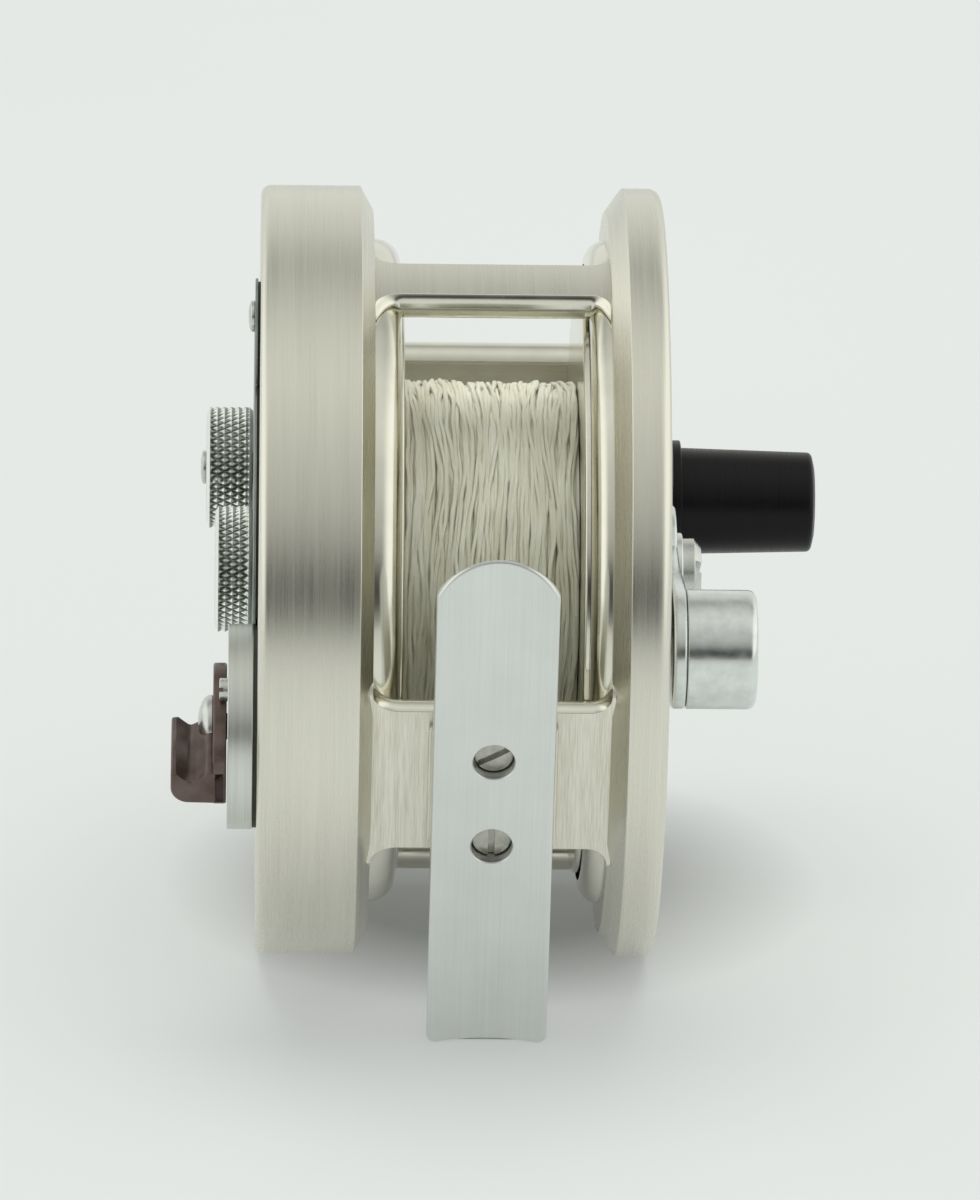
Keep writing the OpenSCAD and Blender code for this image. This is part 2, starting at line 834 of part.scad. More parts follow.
frame();
foot();
foot_screw_upper();
foot_screw_lower();
back_cover();
cover_screw_1();
cover_screw_2();
cover_screw_3();
back_gasket();
back_plate();
plate_screw();
dial_gasket();
dial_disc();
dial_screw();
side_plate();
side_screw_1();
side_screw_2();
side_screw_3();
bearing_left();
bearing_right();
pawl_pin();
click_spring();
guide_pin_1();
guide_pin_2();
spool();
line();
spindle();
click_wheel();
brake_disc();
cork_washer();
crank();
hub_screw();
counterweight();
counterweight_screw();
handle_axle();
handle();
handle_bush();
drag_knob();
drag_screw();
pressure_plate();
thrust_washer();
tension_knob();
tension_stem();
tension_knob_screw();
lever();
lever_shaft();
lever_screw();
pawl();
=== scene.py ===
import json
import math
import random

import bmesh
import bpy
from mathutils import Matrix, Vector, noise


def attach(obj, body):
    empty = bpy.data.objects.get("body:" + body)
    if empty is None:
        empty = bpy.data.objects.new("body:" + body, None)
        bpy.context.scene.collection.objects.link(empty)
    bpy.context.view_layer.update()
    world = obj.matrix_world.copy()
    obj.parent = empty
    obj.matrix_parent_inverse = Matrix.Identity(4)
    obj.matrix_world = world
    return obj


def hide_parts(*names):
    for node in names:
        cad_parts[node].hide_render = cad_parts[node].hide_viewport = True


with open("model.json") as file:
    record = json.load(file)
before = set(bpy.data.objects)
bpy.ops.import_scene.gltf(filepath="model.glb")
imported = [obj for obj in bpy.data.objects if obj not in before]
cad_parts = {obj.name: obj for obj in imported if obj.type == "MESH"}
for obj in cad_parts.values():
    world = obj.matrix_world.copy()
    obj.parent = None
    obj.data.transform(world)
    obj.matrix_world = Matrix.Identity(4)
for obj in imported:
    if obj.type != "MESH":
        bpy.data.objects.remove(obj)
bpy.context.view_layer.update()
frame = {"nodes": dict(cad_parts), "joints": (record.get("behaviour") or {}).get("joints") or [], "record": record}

MM = 0.001
ALONG_X = Vector((1, 0, 0))


# ---- places ------------------------------------------------------------------

def joint_place(name):
    found = next(j for j in frame["joints"] if j["name"] == name)
    return Vector(found["pos_m"])


hub = joint_place("spool_spin")
foot_out = Vector(frame["record"]["mounts"][0]["axis"])
foot_up = foot_out.cross(ALONG_X)
to_handle = joint_place("handle_spin") - hub
weight_out = -Vector((0, to_handle.y, to_handle.z)).normalized()
weight_up = weight_out.cross(ALONG_X)


def placer(out, up, u0=0.0, z0=0.0, turn=0.0):
    """A function from (x, u, z) in millimetres to the row frame, turned about the piece's own axis."""
    c, s = math.cos(math.radians(turn)), math.sin(math.radians(turn))

    def place(x, u, z):
        across, upward = u0 + u * c - z * s, z0 + u * s + z * c
        return hub + (ALONG_X * x + out * across + up * upward) * MM

    return place


def reel(u0=0.0, z0=0.0, turn=0.0):
    return placer(foot_out, foot_up, u0, z0, turn)


def reel_at(angle, reach, turn=0.0):
    a = math.radians(angle)
    return reel(reach * math.cos(a), reach * math.sin(a), turn)


def crank_axes(u0=0.0, z0=0.0, turn=0.0):
    return placer(weight_out, weight_up, u0, z0, turn)


# ---- dimensions, in millimetres -------------------------------------------------

RIM_R = 47.5
HOUSING_OUT, HOUSING_IN = -28.3, -14.5
RING_IN, RING_OUT = 14.1, 20.9
BEVEL_R = 44.6
COVER_R, COVER_IN = 45.0, -25.8
CAVITY_R, WEB_OUT = 40.5, -17.5
SIDE_R, SIDE_IN = 42.0, 18.4
BEARING_R, BEARING_BOSS_R = 8.0, 11.0
BAR_R, BORE_R = 42.0, 38.2
WALL_R, WALL_BORE = 41.0, 38.1
BOSS_FACE, LAND_FACE, BOSS_HALF = 43.6, 44.6, 10.6
WINDOW_LEFT, WINDOW_RIGHT = -11.15, 11.6
FLARE = 2.4
LAND_W, LAND_HALF = 7.8, 8.4
PLAY = 0.1
# each bar: degrees from the foot, half width
BARS = [(93.2, 4.1), (180, 6.6), (270, 6.6)]
FOOT_FACE, FOOT_HALF, FOOT_W, TROUGH = 49.5, 35.6, 14.6, 1.1
FOOT_SCREW_Z, SCREW_DEPTH = 6.25, 2.7
HOLE_ROOM = 3.4
FOOT_EDGE = 0.4
FOOT_COLUMNS = 32
CRANK_REACH = 33.0
ARM_IN, ARM_OUT, COLLAR_OUT = 21.5, 23.3, 24.2
DIAL_REACH, DIAL_ROOM = 33.0, 12.8
DIAL_OUT, DIAL_IN = -31.85, -28.8
LEVER_ARM = 11.6
LEVER_OUT, LEVER_IN = -33.6, -31.95
TAB_OUT, TAB_TOP, TAB_LOW = -38.6, 1.35, -3.1
PLATE_OUT, PLATE_IN = -28.95, -28.6
PLATE_R, PLATE_TAB, PLATE_TAB_R = 31.0, 37.6, 4.6
TENSION_REACH = 22.0
DRAG_OUT, TENSION_OUT, KNOB_IN = -33.6, -34.8, -29.0
KNURL_DEPTH, KNURL_STEPS = 0.5, 12


# ---- small mesh tools -----------------------------------------------------------

def mix(a, b, t):
    return a + (b - a) * t


def smooth(low, high, value):
    t = min(max((value - low) / (high - low), 0.0), 1.0)
    return t * t * (3 - 2 * t)


def add_object(name, data):
    made = bpy.data.objects.new(name, data)
    bpy.context.scene.collection.objects.link(made)
    return made


def clean_mesh(name, points, faces, place, merge):
    """A mesh from points in millimetres, with its doubles merged and its faces looking out."""
    mesh = bpy.data.meshes.new(name)
    mesh.from_pydata([place(*p) for p in points], [], faces)
    work = bmesh.new()
    work.from_mesh(mesh)
    bmesh.ops.remove_doubles(work, verts=work.verts, dist=merge)
    bmesh.ops.recalc_face_normals(work, faces=work.faces)
    work.to_mesh(mesh)
    work.free()
    return mesh


def soften(mesh, sharp):
    """Smooth shading, except at edges that turn more than so many degrees."""
    mesh.shade_smooth()
    mesh.set_sharp_from_angle(angle=math.radians(sharp))


def add_piece(name, points, faces, place, body, finish, slot, sharp=32):
    """A mesh object from points in millimetres, with its material and body."""
    mesh = clean_mesh(name, points, faces, place, 1e-6)
    soften(mesh, sharp)
    mesh.materials.append(finish)
    piece = add_object(name, mesh)
    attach(piece, body)
    return piece


def join_shells(shells):
    """One list of points and one of faces from several (points, faces) pairs."""
    points, faces = [], []
    for shell_points, shell_faces in shells:
        base = len(points)
        points.extend(shell_points)
        faces.extend([tuple(i + base for i in face) for face in shell_faces])
    return points, faces


def grid_faces(rows, columns, wrap=False):
    """Quads between neighbouring rows of points. With wrap, the last column meets the first."""
    last = columns if wrap else columns - 1
    return [
        (i * columns + j, i * columns + (j + 1) % columns,
         (i + 1) * columns + (j + 1) % columns, (i + 1) * columns + j)
        for i in range(rows - 1) for j in range(last)
    ]


def tube_faces(rows, columns):
    """Faces of a tube of rows, closed at both ends."""
    last = (rows - 1) * columns
    return grid_faces(rows, columns, wrap=True) + [tuple(range(columns)), tuple(range(last, last + columns))]


def rounded(corners, closed=False, steps=5):
    """A profile from (a, b, radius) corners, with arcs at them and a point close beside each arc."""
    count = len(corners)
    result = []
    for i, (a, b, radius) in enumerate(corners):
        here = Vector((a, b))
        if radius <= 0 or (not closed and i in (0, count - 1)):
            result.append((a, b))
            continue
        before = (Vector(corners[i - 1][:2]) - here)
        after = (Vector(corners[(i + 1) % count][:2]) - here)
        half = before.angle(after) / 2
        reach = min(radius / math.tan(half), before.length * 0.48, after.length * 0.48)
        r = reach * math.tan(half)
        middle = (before.normalized() + after.normalized()).normalized() * (r / math.sin(half))
        centre = here + middle
        start = here + before.normalized() * reach
        end = here + after.normalized() * reach
        first, last = start - centre, end - centre
        turn = first.angle_signed(last)
        guard = min(0.1, reach * 0.3)
        result.append(tuple(start + before.normalized() * min(guard, before.length * 0.02)))
        for k in range(steps + 1):
            arm = Matrix.Rotation(-turn * k / steps, 2) @ first
            result.append(tuple(centre + arm))
        result.append(tuple(end + after.normalized() * min(guard, after.length * 0.02)))
    return result


def lathe(profile, segments=128, closed=False, relief=None):
    """A shell turned about x from (x, r) points. relief(x, r, angle) may change each radius."""
    loop = list(profile) + ([profile[0]] if closed else [])
    points = []
    for x, r in loop:
        for j in range(segments):
            angle = 2 * math.pi * j / segments
            radius = relief(x, r, angle) if relief else r
            points.append((x, radius * math.cos(angle), radius * math.sin(angle)))
    return points, grid_faces(len(loop), segments, wrap=True)


def slab(outline, x0, x1, edge, steps=4):
    """A plate from x0 to x1 with (u, z) outline and rounded long edges. Outline normals point outwards."""
    count = len(outline)
    area = sum(
        outline[i][0] * outline[(i + 1) % count][1] - outline[(i + 1) % count][0] * outline[i][1]
        for i in range(count))
    sign = 1 if area > 0 else -1
    normals = []
    for i in range(count):
        along = Vector(outline[(i + 1) % count]) - Vector(outline[i - 1])
        normals.append(Vector((along.y, -along.x)).normalized() * sign)
    layers = [(x0, edge + 0.1)]
    layers += [(x0 + edge * (1 - math.cos(a)), edge * (1 - math.sin(a)))
               for a in [math.pi / 2 * k / steps for k in range(steps + 1)]]
    layers += [(x1 - (x - x0), inset) for x, inset in reversed(layers)]
    points = []
    for x, inset in layers:
        for (u, z), n in zip(outline, normals):
            points.append((x, u - n.x * inset, z - n.y * inset))
    faces = grid_faces(len(layers), count, wrap=True)
    faces.append(tuple(range(count)))
    faces.append(tuple(len(points) - 1 - i for i in range(count)))
    return points, faces


def block(x0, x1, u0, u1, z0, z1, edge):
    """A box with rounded long edges along u."""
    corners = rounded([(x0, z0, edge), (x1, z0, edge), (x1, z1, edge), (x0, z1, edge)], closed=True, steps=3)
    points, faces = slab(corners, u0, u1, edge, steps=3)
    return [(a, u, z) for u, a, z in points], faces


def scratch(points, faces, place):
    """A bare mesh object used as a cutter."""
    return add_object("cutter", clean_mesh("cutter", points, faces, place, 1e-7))


def cut(piece, cutter, sharp=32):
    """Cuts cutter out of piece and throws the cutter away."""
    step = piece.modifiers.new("cut", "BOOLEAN")
    step.operation = "DIFFERENCE"
    step.solver = "EXACT"
    step.object = cutter
    bpy.context.view_layer.update()
    ready = bpy.data.meshes.new_from_object(piece.evaluated_get(bpy.context.evaluated_depsgraph_get()))
    piece.modifiers.clear()
    piece.data = ready
    bpy.data.objects.remove(cutter)
    soften(ready, sharp)


def plain_box(x0, x1, u0, u1, z0, z1):
    """A box with sharp edges, for cutting slots."""
    points = [(x, u, z) for x in (x0, x1) for u in (u0, u1) for z in (z0, z1)]
    faces = [(0, 1, 3, 2), (4, 6, 7, 5), (0, 4, 5, 1), (2, 3, 7, 6), (0, 2, 6, 4), (1, 5, 7, 3)]
    return points, faces


# ---- materials ------------------------------------------------------------------

def new_node(tree, kind, **settings):
    made = tree.nodes.new(kind)
    for key, value in settings.items():
        setattr(made, key, value)
    return made


def fill_ramp(node, stops):
    """Gives a colour ramp its (position, colour) stops."""
    elements = node.color_ramp.elements
    while len(elements) < len(stops):
        elements.new(0.5)
    for element, (at, colour) in zip(elements, stops):
        element.position = at
        element.color = (*colour, 1)


class Shader:
    """A principled material with short calls for its nodes."""

    def __init__(self, name, metallic, coat=0.0, sheen=0.0, specular=0.5):
        self.material = bpy.data.materials.new(name)
        self.material.use_nodes = True
        self.tree = self.material.node_tree
        self.shader = self.tree.nodes["Principled BSDF"]
        self.shader.inputs["Metallic"].default_value = metallic
        self.shader.inputs["Coat Weight"].default_value = coat
        self.shader.inputs["Sheen Weight"].default_value = sheen
        self.shader.inputs["Specular IOR Level"].default_value = specular
        self.place = self.node("ShaderNodeTexCoord").outputs["Object"]

    def node(self, kind, **settings):
        return new_node(self.tree, kind, **settings)

    def link(self, source, target):
        self.tree.links.new(source, target)

    def math(self, operation, a, b=0.0):
        made = self.node("ShaderNodeMath", operation=operation)
        for socket, value in zip(made.inputs, (a, b)):
            if isinstance(value, (int, float)):
                socket.default_value = value
            else:
                self.link(value, socket)
        return made.outputs[0]

    def blend(self, a, b, share):
        """So much of a, and b for the rest."""
        return self.math("ADD", self.math("MULTIPLY", a, share), self.math("MULTIPLY", b, 1 - share))

    def scaled(self, vector, scale):
        made = self.node("ShaderNodeVectorMath", operation="MULTIPLY")
        self.link(vector, made.inputs[0])
        made.inputs[1].default_value = scale
        return made.outputs[0]

    def noise(self, vector, scale=1.0, detail=2.0, rough=0.5):
        made = self.node("ShaderNodeTexNoise")
        self.link(vector, made.inputs["Vector"])
        made.inputs["Scale"].default_value = scale
        made.inputs["Detail"].default_value = detail
        made.inputs["Roughness"].default_value = rough
        return made.outputs["Fac"]

    def ramp(self, value, stops):
        made = self.node("ShaderNodeValToRGB")
        fill_ramp(made, stops)
        self.link(value, made.inputs["Fac"])
        return made.outputs["Color"]

    def spread(self, value, low, high, start=0.3, end=0.7):
        made = self.node("ShaderNodeMapRange")
        self.link(value, made.inputs["Value"])
        made.inputs["From Min"].default_value = start
        made.inputs["From Max"].default_value = end
        made.inputs["To Min"].default_value = low
        made.inputs["To Max"].default_value = high
        return made.outputs["Result"]

    def colour(self, value, dark, light, start=0.3, end=0.7):
        self.link(self.ramp(value, [(start, dark), (end, light)]), self.shader.inputs["Base Color"])

    def rough(self, value, low, high):
        self.link(self.spread(value, low, high), self.shader.inputs["Roughness"])

    def bump(self, height, distance, strength=1.0):
        made = self.node("ShaderNodeBump")
        made.inputs["Distance"].default_value = distance * MM
        made.inputs["Strength"].default_value = strength
        self.link(height, made.inputs["Height"])
        if self.shader.inputs["Normal"].is_linked:
            self.link(self.shader.inputs["Normal"].links[0].from_socket, made.inputs["Normal"])
        self.link(made.outputs["Normal"], self.shader.inputs["Normal"])

    def offset(self, centre):
        """Coordinates measured from a point."""
        made = self.node("ShaderNodeVectorMath", operation="SUBTRACT")
        self.link(self.place, made.inputs[0])
        made.inputs[1].default_value = centre
        return made.outputs[0]

    def length(self, vector):
        made = self.node("ShaderNodeVectorMath", operation="LENGTH")
        self.link(vector, made.inputs[0])
        return made.outputs["Value"]

    def turned(self, pitch, run, centre=hub):
        """Coordinates for a lathe's marks, which change each pitch across them and each run along them."""
        shift = self.offset(centre)
        flat = self.scaled(shift, (0, 1, 1))
        split = self.node("ShaderNodeSeparateXYZ")
        self.link(shift, split.inputs[0])
        joined = self.node("ShaderNodeCombineXYZ")
        self.link(split.outputs["X"], joined.inputs["X"])
        self.link(self.length(flat), joined.inputs["Y"])
        across = self.scaled(joined.outputs[0], (1 / (pitch * MM),) * 3)
        along = self.scaled(flat, (1 / (run * MM),) * 3)
        total = self.node("ShaderNodeVectorMath", operation="ADD")
        self.link(across, total.inputs[0])
        self.link(along, total.inputs[1])
        return total.outputs[0]

    def brushed(self, pitch, run):
        """Coordinates for straight brushing at right angles to x."""
        return self.scaled(self.place, (1 / (pitch * MM), 1 / (run * MM), 1 / (run * MM)))


def turned_metal(name, dark, light, rough, marks=0.008, pitch=0.12, centre=hub):
    s = Shader(name, 1.0)
    fine = s.noise(s.turned(pitch, 14, centre), detail=3, rough=0.6)
    broad = s.noise(s.turned(pitch * 7, 60, centre), detail=2)
    tone = s.blend(fine, broad, 0.6)
    s.colour(tone, dark, light)
    s.rough(tone, rough - 0.05, rough + 0.06)
    s.bump(fine, marks)
    s.bump(s.noise(s.place, 9000, 2), 0.003)
    return s.material


def frame_metal():
    return turned_metal("champagne_anodised", (0.70, 0.685, 0.60), (0.82, 0.80, 0.71), 0.28)


def lip_metal():
    s = Shader("champagne_polished", 1.0)
    cloudy = s.noise(s.place, 260, 3)
    s.colour(cloudy, (0.76, 0.74, 0.645), (0.83, 0.81, 0.715))
    s.rough(cloudy, 0.13, 0.19)
    s.bump(s.noise(s.place, 5200, 2), 0.003)
    return s.material


def boss_metal():
    s = Shader("champagne_milled", 1.0)
    streaks = s.noise(s.brushed(0.16, 5.0), detail=4, rough=0.65)
    stains = s.noise(s.brushed(0.9, 30), detail=2)
    tone = s.blend(streaks, stains, 0.7)
    s.colour(tone, (0.60, 0.575, 0.48), (0.86, 0.83, 0.74), 0.30, 0.58)
    s.rough(tone, 0.3, 0.42)
    s.bump(streaks, 0.012)
    return s.material


def foot_metal():
    s = Shader("clear_satin", 1.0)
    streaks = s.noise(s.brushed(0.2, 22), detail=4, rough=0.6)
    smudge = s.noise(s.place, 120, 3)
    tone = s.blend(streaks, smudge, 0.55)
    s.colour(tone, (0.70, 0.72, 0.70), (0.80, 0.82, 0.80))
    s.rough(tone, 0.34, 0.42)
    s.bump(streaks, 0.004)
    s.bump(s.noise(s.place, 7000, 2), 0.003)
    return s.material


def satin_metal(name, dark, light, rough):
    s = Shader(name, 1.0)
    cloudy = s.noise(s.place, 700, 4)
    s.colour(cloudy, dark, light)
    s.rough(cloudy, rough - 0.04, rough + 0.05)
    s.bump(s.noise(s.place, 6500, 3), 0.004)
    return s.material


def knurled_metal():
    """Painted highlight at the crests of the knurling and painted shade in its grooves."""
    s = Shader("knurled_nickel", 1.0)
    cloudy = s.noise(s.place, 900, 4)
    # Pointiness sets the base colour: painted highlight on the crests, painted shade in the grooves.
    crest = s.node("ShaderNodeNewGeometry").outputs["Pointiness"]
    s.colour(crest, (0.2, 0.21, 0.19), (0.93, 0.95, 0.9), 0.44, 0.54)
    s.rough(cloudy, 0.16, 0.24)
    s.bump(s.noise(s.place, 5200, 2), 0.004)
    return s.material


def dark_plate():
    s = Shader("dark_plate", 1.0)
    cloudy = s.noise(s.place, 500, 4)
    s.colour(cloudy, (0.29, 0.32, 0.31), (0.38, 0.41, 0.395))
    s.rough(cloudy, 0.38, 0.5)
    s.bump(s.noise(s.place, 5000, 3), 0.006)
    return s.material


def gasket():
    s = Shader("gasket_rubber", 0.0)
    cloudy = s.noise(s.place, 1500, 4)
    s.colour(cloudy, (0.02, 0.02, 0.018), (0.045, 0.043, 0.038))
    s.rough(cloudy, 0.6, 0.8)
    s.bump(cloudy, 0.03)
    return s.material


def oxblood():
    s = Shader("oxblood_anodised", 0.85)
    cloudy = s.noise(s.place, 420, 3)
    s.colour(cloudy, (0.115, 0.078, 0.068), (0.17, 0.128, 0.115))
    s.rough(cloudy, 0.3, 0.38)
    s.bump(s.noise(s.place, 7000, 3), 0.006)
    return s.material


def handle_black():
    s = Shader("satin_black", 0.0, specular=0.2)
    fine = s.noise(s.turned(0.1, 10, joint_place("handle_spin")), detail=3)
    s.colour(fine, (0.002, 0.002, 0.0022), (0.005, 0.005, 0.0055))
    s.rough(fine, 0.28, 0.4)
    s.bump(fine, 0.006)
    return s.material


def backing_line():
    s = Shader("backing_line", 0.0, sheen=0.12, specular=0.3)
    cloudy = s.noise(s.scaled(s.place, (500, 120, 120)), detail=4, rough=0.6)
    stain = s.noise(s.scaled(s.place, (260, 70, 70)), detail=2)
    tone = s.blend(cloudy, stain, 0.5)
    colour = s.ramp(tone, [
        (0.28, (0.458, 0.396, 0.264)), (0.36, (0.634, 0.616, 0.484)),
        (0.6, (0.713, 0.713, 0.607)), (0.72, (0.766, 0.774, 0.695))])
    s.link(colour, s.shader.inputs["Base Color"])
    s.rough(cloudy, 0.55, 0.75)
    s.bump(s.noise(s.place, 4200, 3), 0.04)
    return s.material


def cork():
    s = Shader("cork", 0.0)
    grains = s.noise(s.place, 1800, 5, 0.7)
    s.colour(grains, (0.32, 0.19, 0.10), (0.68, 0.48, 0.30))
    s.rough(grains, 0.7, 0.9)
    s.bump(grains, 0.08)
    return s.material


FRAME = frame_metal()
LIP = lip_metal()
BOSS = boss_metal()
FOOT = foot_metal()
SATIN = satin_metal("satin_aluminium", (0.68, 0.71, 0.69), (0.80, 0.83, 0.81), 0.2)
SCREW_SATIN = satin_metal("satin_screw", (0.56, 0.57, 0.54), (0.70, 0.71, 0.68), 0.26)
STEEL = satin_metal("screw_steel", (0.38, 0.37, 0.33), (0.56, 0.55, 0.50), 0.28)
KNURLED = knurled_metal()
GREY = turned_metal("brushed_grey", (0.58, 0.60, 0.56), (0.78, 0.80, 0.75), 0.36, 0.01, 0.14,
                    joint_place("click_lever_turn"))
PLATE = dark_plate()
GASKET = gasket()
OXBLOOD = oxblood()
BLACK = handle_black()
LINE = backing_line()
CORK = cork()
BRASS = satin_metal("bush_brass", (0.55, 0.40, 0.18), (0.72, 0.56, 0.28), 0.25)


# ---- frame: two discs, an inner wall on each, three bars and the foot's boss ----------

def wall_shell(x_disc, x_edge):
    """An inner wall: a ring on a disc, its outer edge rounded right over."""
    wide, deep, root = x_edge - x_disc, WALL_R - WALL_BORE, x_disc * 1.03
    profile = [(root, WALL_BORE), (root, WALL_R)]
    profile += [(x_disc + wide * math.sin(a), WALL_BORE + deep * math.cos(a))
                for a in [math.pi / 2 * i / 16 for i in range(17)]]
    return lathe(profile, 256, closed=True)


def member_stations(half_w):
    """Places along a member with its half width, and how far it has flared into the disc at each end."""
    stations = []
    for disc, edge in ((HOUSING_IN, WINDOW_LEFT), (RING_IN, WINDOW_RIGHT)):
        grow = [(math.sin(a), 1 - math.cos(a)) for a in [math.pi / 2 * i / 12 for i in range(13)]]
        end = [(mix(edge, disc, along), half_w + FLARE * out, out) for along, out in grow]
        end.append((disc * 1.03, half_w + FLARE, 1.0))
        stations.append(end)
    straight = [(mix(WINDOW_LEFT, WINDOW_RIGHT, i / 12), half_w, 0.0) for i in range(1, 12)]
    return list(reversed(stations[0])) + straight + stations[1]


def member_section(half_w, face, nose_r, nose_from, skirt):
    """Section of a member, (across, outwards): its face, and bulging sides that meet the face sharply."""
    start, tuck = math.radians(nose_from), 57
    across = half_w - nose_r + nose_r * math.cos(start)
    centre = (half_w - nose_r, face(across) - nose_r * math.sin(start))
    nose = []
    for i in range(19):
        a = start - math.radians(nose_from + tuck) * i / 18
        spread = skirt * smooth(0, nose_r * 0.54, nose_r * (math.sin(start) - math.sin(a)))
        nose.append((centre[0] + nose_r * math.cos(a) + spread, centre[1] + nose_r * math.sin(a)))
    inner = max(nose[-1][0] - 1.2 * max(nose[-1][1] - BORE_R, 0), 1.0)
    top = [(mix(-across, across, i / 14), face(mix(-across, across, i / 14))) for i in range(1, 14)]
    bore = [mix(inner, -inner, i / 8) for i in range(9)]
    bore = [(t, math.sqrt(BORE_R * BORE_R - t * t)) for t in bore]
    right = [(*nose[0], 0.15)] + [(*p, 0) for p in nose[1:]]
    left = [(-t, h, r) for t, h, r in reversed(right)]
    corners = [(*p, 0) for p in top] + right + [(*p, 0) for p in bore] + left
    return rounded(corners, closed=True, steps=3)


def member_shell(angle, half_w, face, nose_r, nose_from, skirt):
    """A bar or boss between the discs, so many degrees from the foot."""
    c, s = math.cos(math.radians(angle)), math.sin(math.radians(angle))
    points, count = [], 0
    stations = member_stations(half_w)
    for x, width, out in stations:
        section = member_section(width, face, nose_r, nose_from, skirt * out)
        count = len(section)
        points += [(x, h * c - t * s, h * s + t * c) for t, h in section]
    return points, tube_faces(len(stations), count)


def turned_face(across):
    """How far out a bar's turned face is, this far from its middle."""
    return math.sqrt(BAR_R * BAR_R - across * across)


def flat_face(across):
    """The same for the boss, which is milled flat."""
    return BOSS_FACE


def housing_shell():
    profile = rounded([
        (HOUSING_IN, BEARING_R, 0), (HOUSING_IN, BEVEL_R, 0.2), (HOUSING_IN - 1.6, RIM_R, 0.2),
        (HOUSING_OUT, RIM_R, 1.5), (HOUSING_OUT, COVER_R, 0.15), (COVER_IN, COVER_R, 0),
        (COVER_IN, CAVITY_R, 0), (WEB_OUT, CAVITY_R, 0), (WEB_OUT, BEARING_BOSS_R, 0),
        (WEB_OUT - 2, BEARING_BOSS_R, 0), (WEB_OUT - 2, BEARING_R, 0),
    ], closed=True)
    return lathe(profile, 288, closed=True)


def ring_shell():
    profile = rounded([
        (RING_IN, WALL_BORE, 0), (RING_IN, BEVEL_R, 0.2), (RING_IN + 2.05, RIM_R, 0.2),
        (RING_OUT, RIM_R, 1.5), (RING_OUT, SIDE_R, 0.15), (SIDE_IN, SIDE_R, 0), (SIDE_IN, WALL_BORE, 0),
    ], closed=True)
    return lathe(profile, 288, closed=True)


def build_frame():
    add_piece("frame_discs", *join_shells([housing_shell(), ring_shell()]), reel(),
              "reel_frame", FRAME, "frame")
    walls = [wall_shell(HOUSING_IN, WINDOW_LEFT), wall_shell(RING_IN, WINDOW_RIGHT)]
    add_piece("frame_walls", *join_shells(walls), reel(), "reel_frame", LIP, "frame", sharp=60)
    bars = [member_shell(angle, half_w, turned_face, nose_r=2.6, nose_from=35.5, skirt=4.5)
            for angle, half_w in BARS]
    cage = add_piece("frame_bars", *join_shells(bars), reel(), "reel_frame", LIP, "frame", sharp=40)
    cage.data.materials.append(FRAME)
    boss_shell = member_shell(0, BOSS_HALF, flat_face, nose_r=2.0, nose_from=40, skirt=0.6)
    boss = add_piece("frame_boss", *boss_shell, reel(), "reel_frame", LIP, "frame", sharp=40)
    boss.data.materials.append(BOSS)
    for face in cage.data.polygons:
        flat = face.center - hub
        outward = face.normal.dot(Vector((0, flat.y, flat.z)).normalized())
        if outward > 0.97 and math.hypot(flat.y, flat.z) > (BAR_R - 0.3) * MM:
            face.material_index = 1
    for face in boss.data.polygons:
        if face.normal.dot(foot_out) > 0.98:
            face.material_index = 1
    land = block(-LAND_W, LAND_W, 42.5, LAND_FACE, -LAND_HALF, LAND_HALF, 0.25)
    add_piece("frame_land", *land, reel(), "reel_frame", BOSS, "frame")
    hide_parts("frame")


# ---- foot ------------------------------------------------------------------------

def foot_top(x):
    """The foot's outer face, hollow across its width."""
    trough_r = (FOOT_W * FOOT_W / 4 + TROUGH * TROUGH) / (2 * TROUGH)
    return FOOT_FACE - (math.sqrt(trough_r * trough_r - x * x) - (trough_r - TROUGH))


def foot_under(z):
    """The foot's inner face, thinner towards both ends."""
    end_t = 1.5
    share = min(max((abs(z) - 9) / (FOOT_HALF - 9), 0), 1)
    return LAND_FACE + (FOOT_FACE - end_t - LAND_FACE) * math.sin(math.pi / 2 * share)


def foot_outline():
    """Right half of the foot's outline from the lower corner to the apex: (x, z, normal x, normal z)."""
    half_w, low_r, top_r = FOOT_W / 2, 1.2, 8.0
    run = []
    for i in range(9):
        a = -math.pi / 2 + math.pi / 2 * i / 8
        nx, nz = math.cos(a), math.sin(a)
        run.append((half_w - low_r + low_r * nx, -FOOT_HALF + low_r + low_r * nz, nx, nz))
    stops = [-FOOT_HALF + low_r, -FOOT_SCREW_Z - HOLE_ROOM, -FOOT_SCREW_Z + HOLE_ROOM,
             FOOT_SCREW_Z - HOLE_ROOM, FOOT_SCREW_Z + HOLE_ROOM]
    arc_start = math.acos(half_w / top_r)
    stops.append(FOOT_HALF - top_r + top_r * math.sin(arc_start))
    for (a, b), steps in zip(zip(stops, stops[1:]), (24, 16, 6, 16, 20)):
        run += [(half_w, mix(a, b, i / steps), 1.0, 0.0) for i in range(1, steps + (b != stops[-1]))]
    for i in range(25):
        a = mix(arc_start, math.pi / 2, i / 24)
        nx, nz = math.cos(a), math.sin(a)
        run.append((top_r * nx, FOOT_HALF - top_r + top_r * nz, nx, nz))
    return run


def foot_rows():
    """Rows of the foot's face inside its rounded edge: (half width, z)."""
    return [(max(x - nx * FOOT_EDGE, 0.0), z - nz * FOOT_EDGE) for x, z, nx, nz in foot_outline()]


def foot_sheet(height, holes):
    """One broad face of the foot, with a round hole at each screw if asked for."""
    rows = foot_rows()
    span = FOOT_COLUMNS + 1
    points = [(mix(-w, w, j / FOOT_COLUMNS), z) for w, z in rows for j in range(span)]
    faces = []
    for face in grid_faces(len(rows), span):
        x = sum(points[i][0] for i in face) / 4
        z = sum(points[i][1] for i in face) / 4
        if not (holes and abs(x) < FOOT_W / 4 and abs(abs(z) - FOOT_SCREW_Z) < HOLE_ROOM):
            faces.append(face)
    return [(x, height(x, z), z) for x, z in points], faces


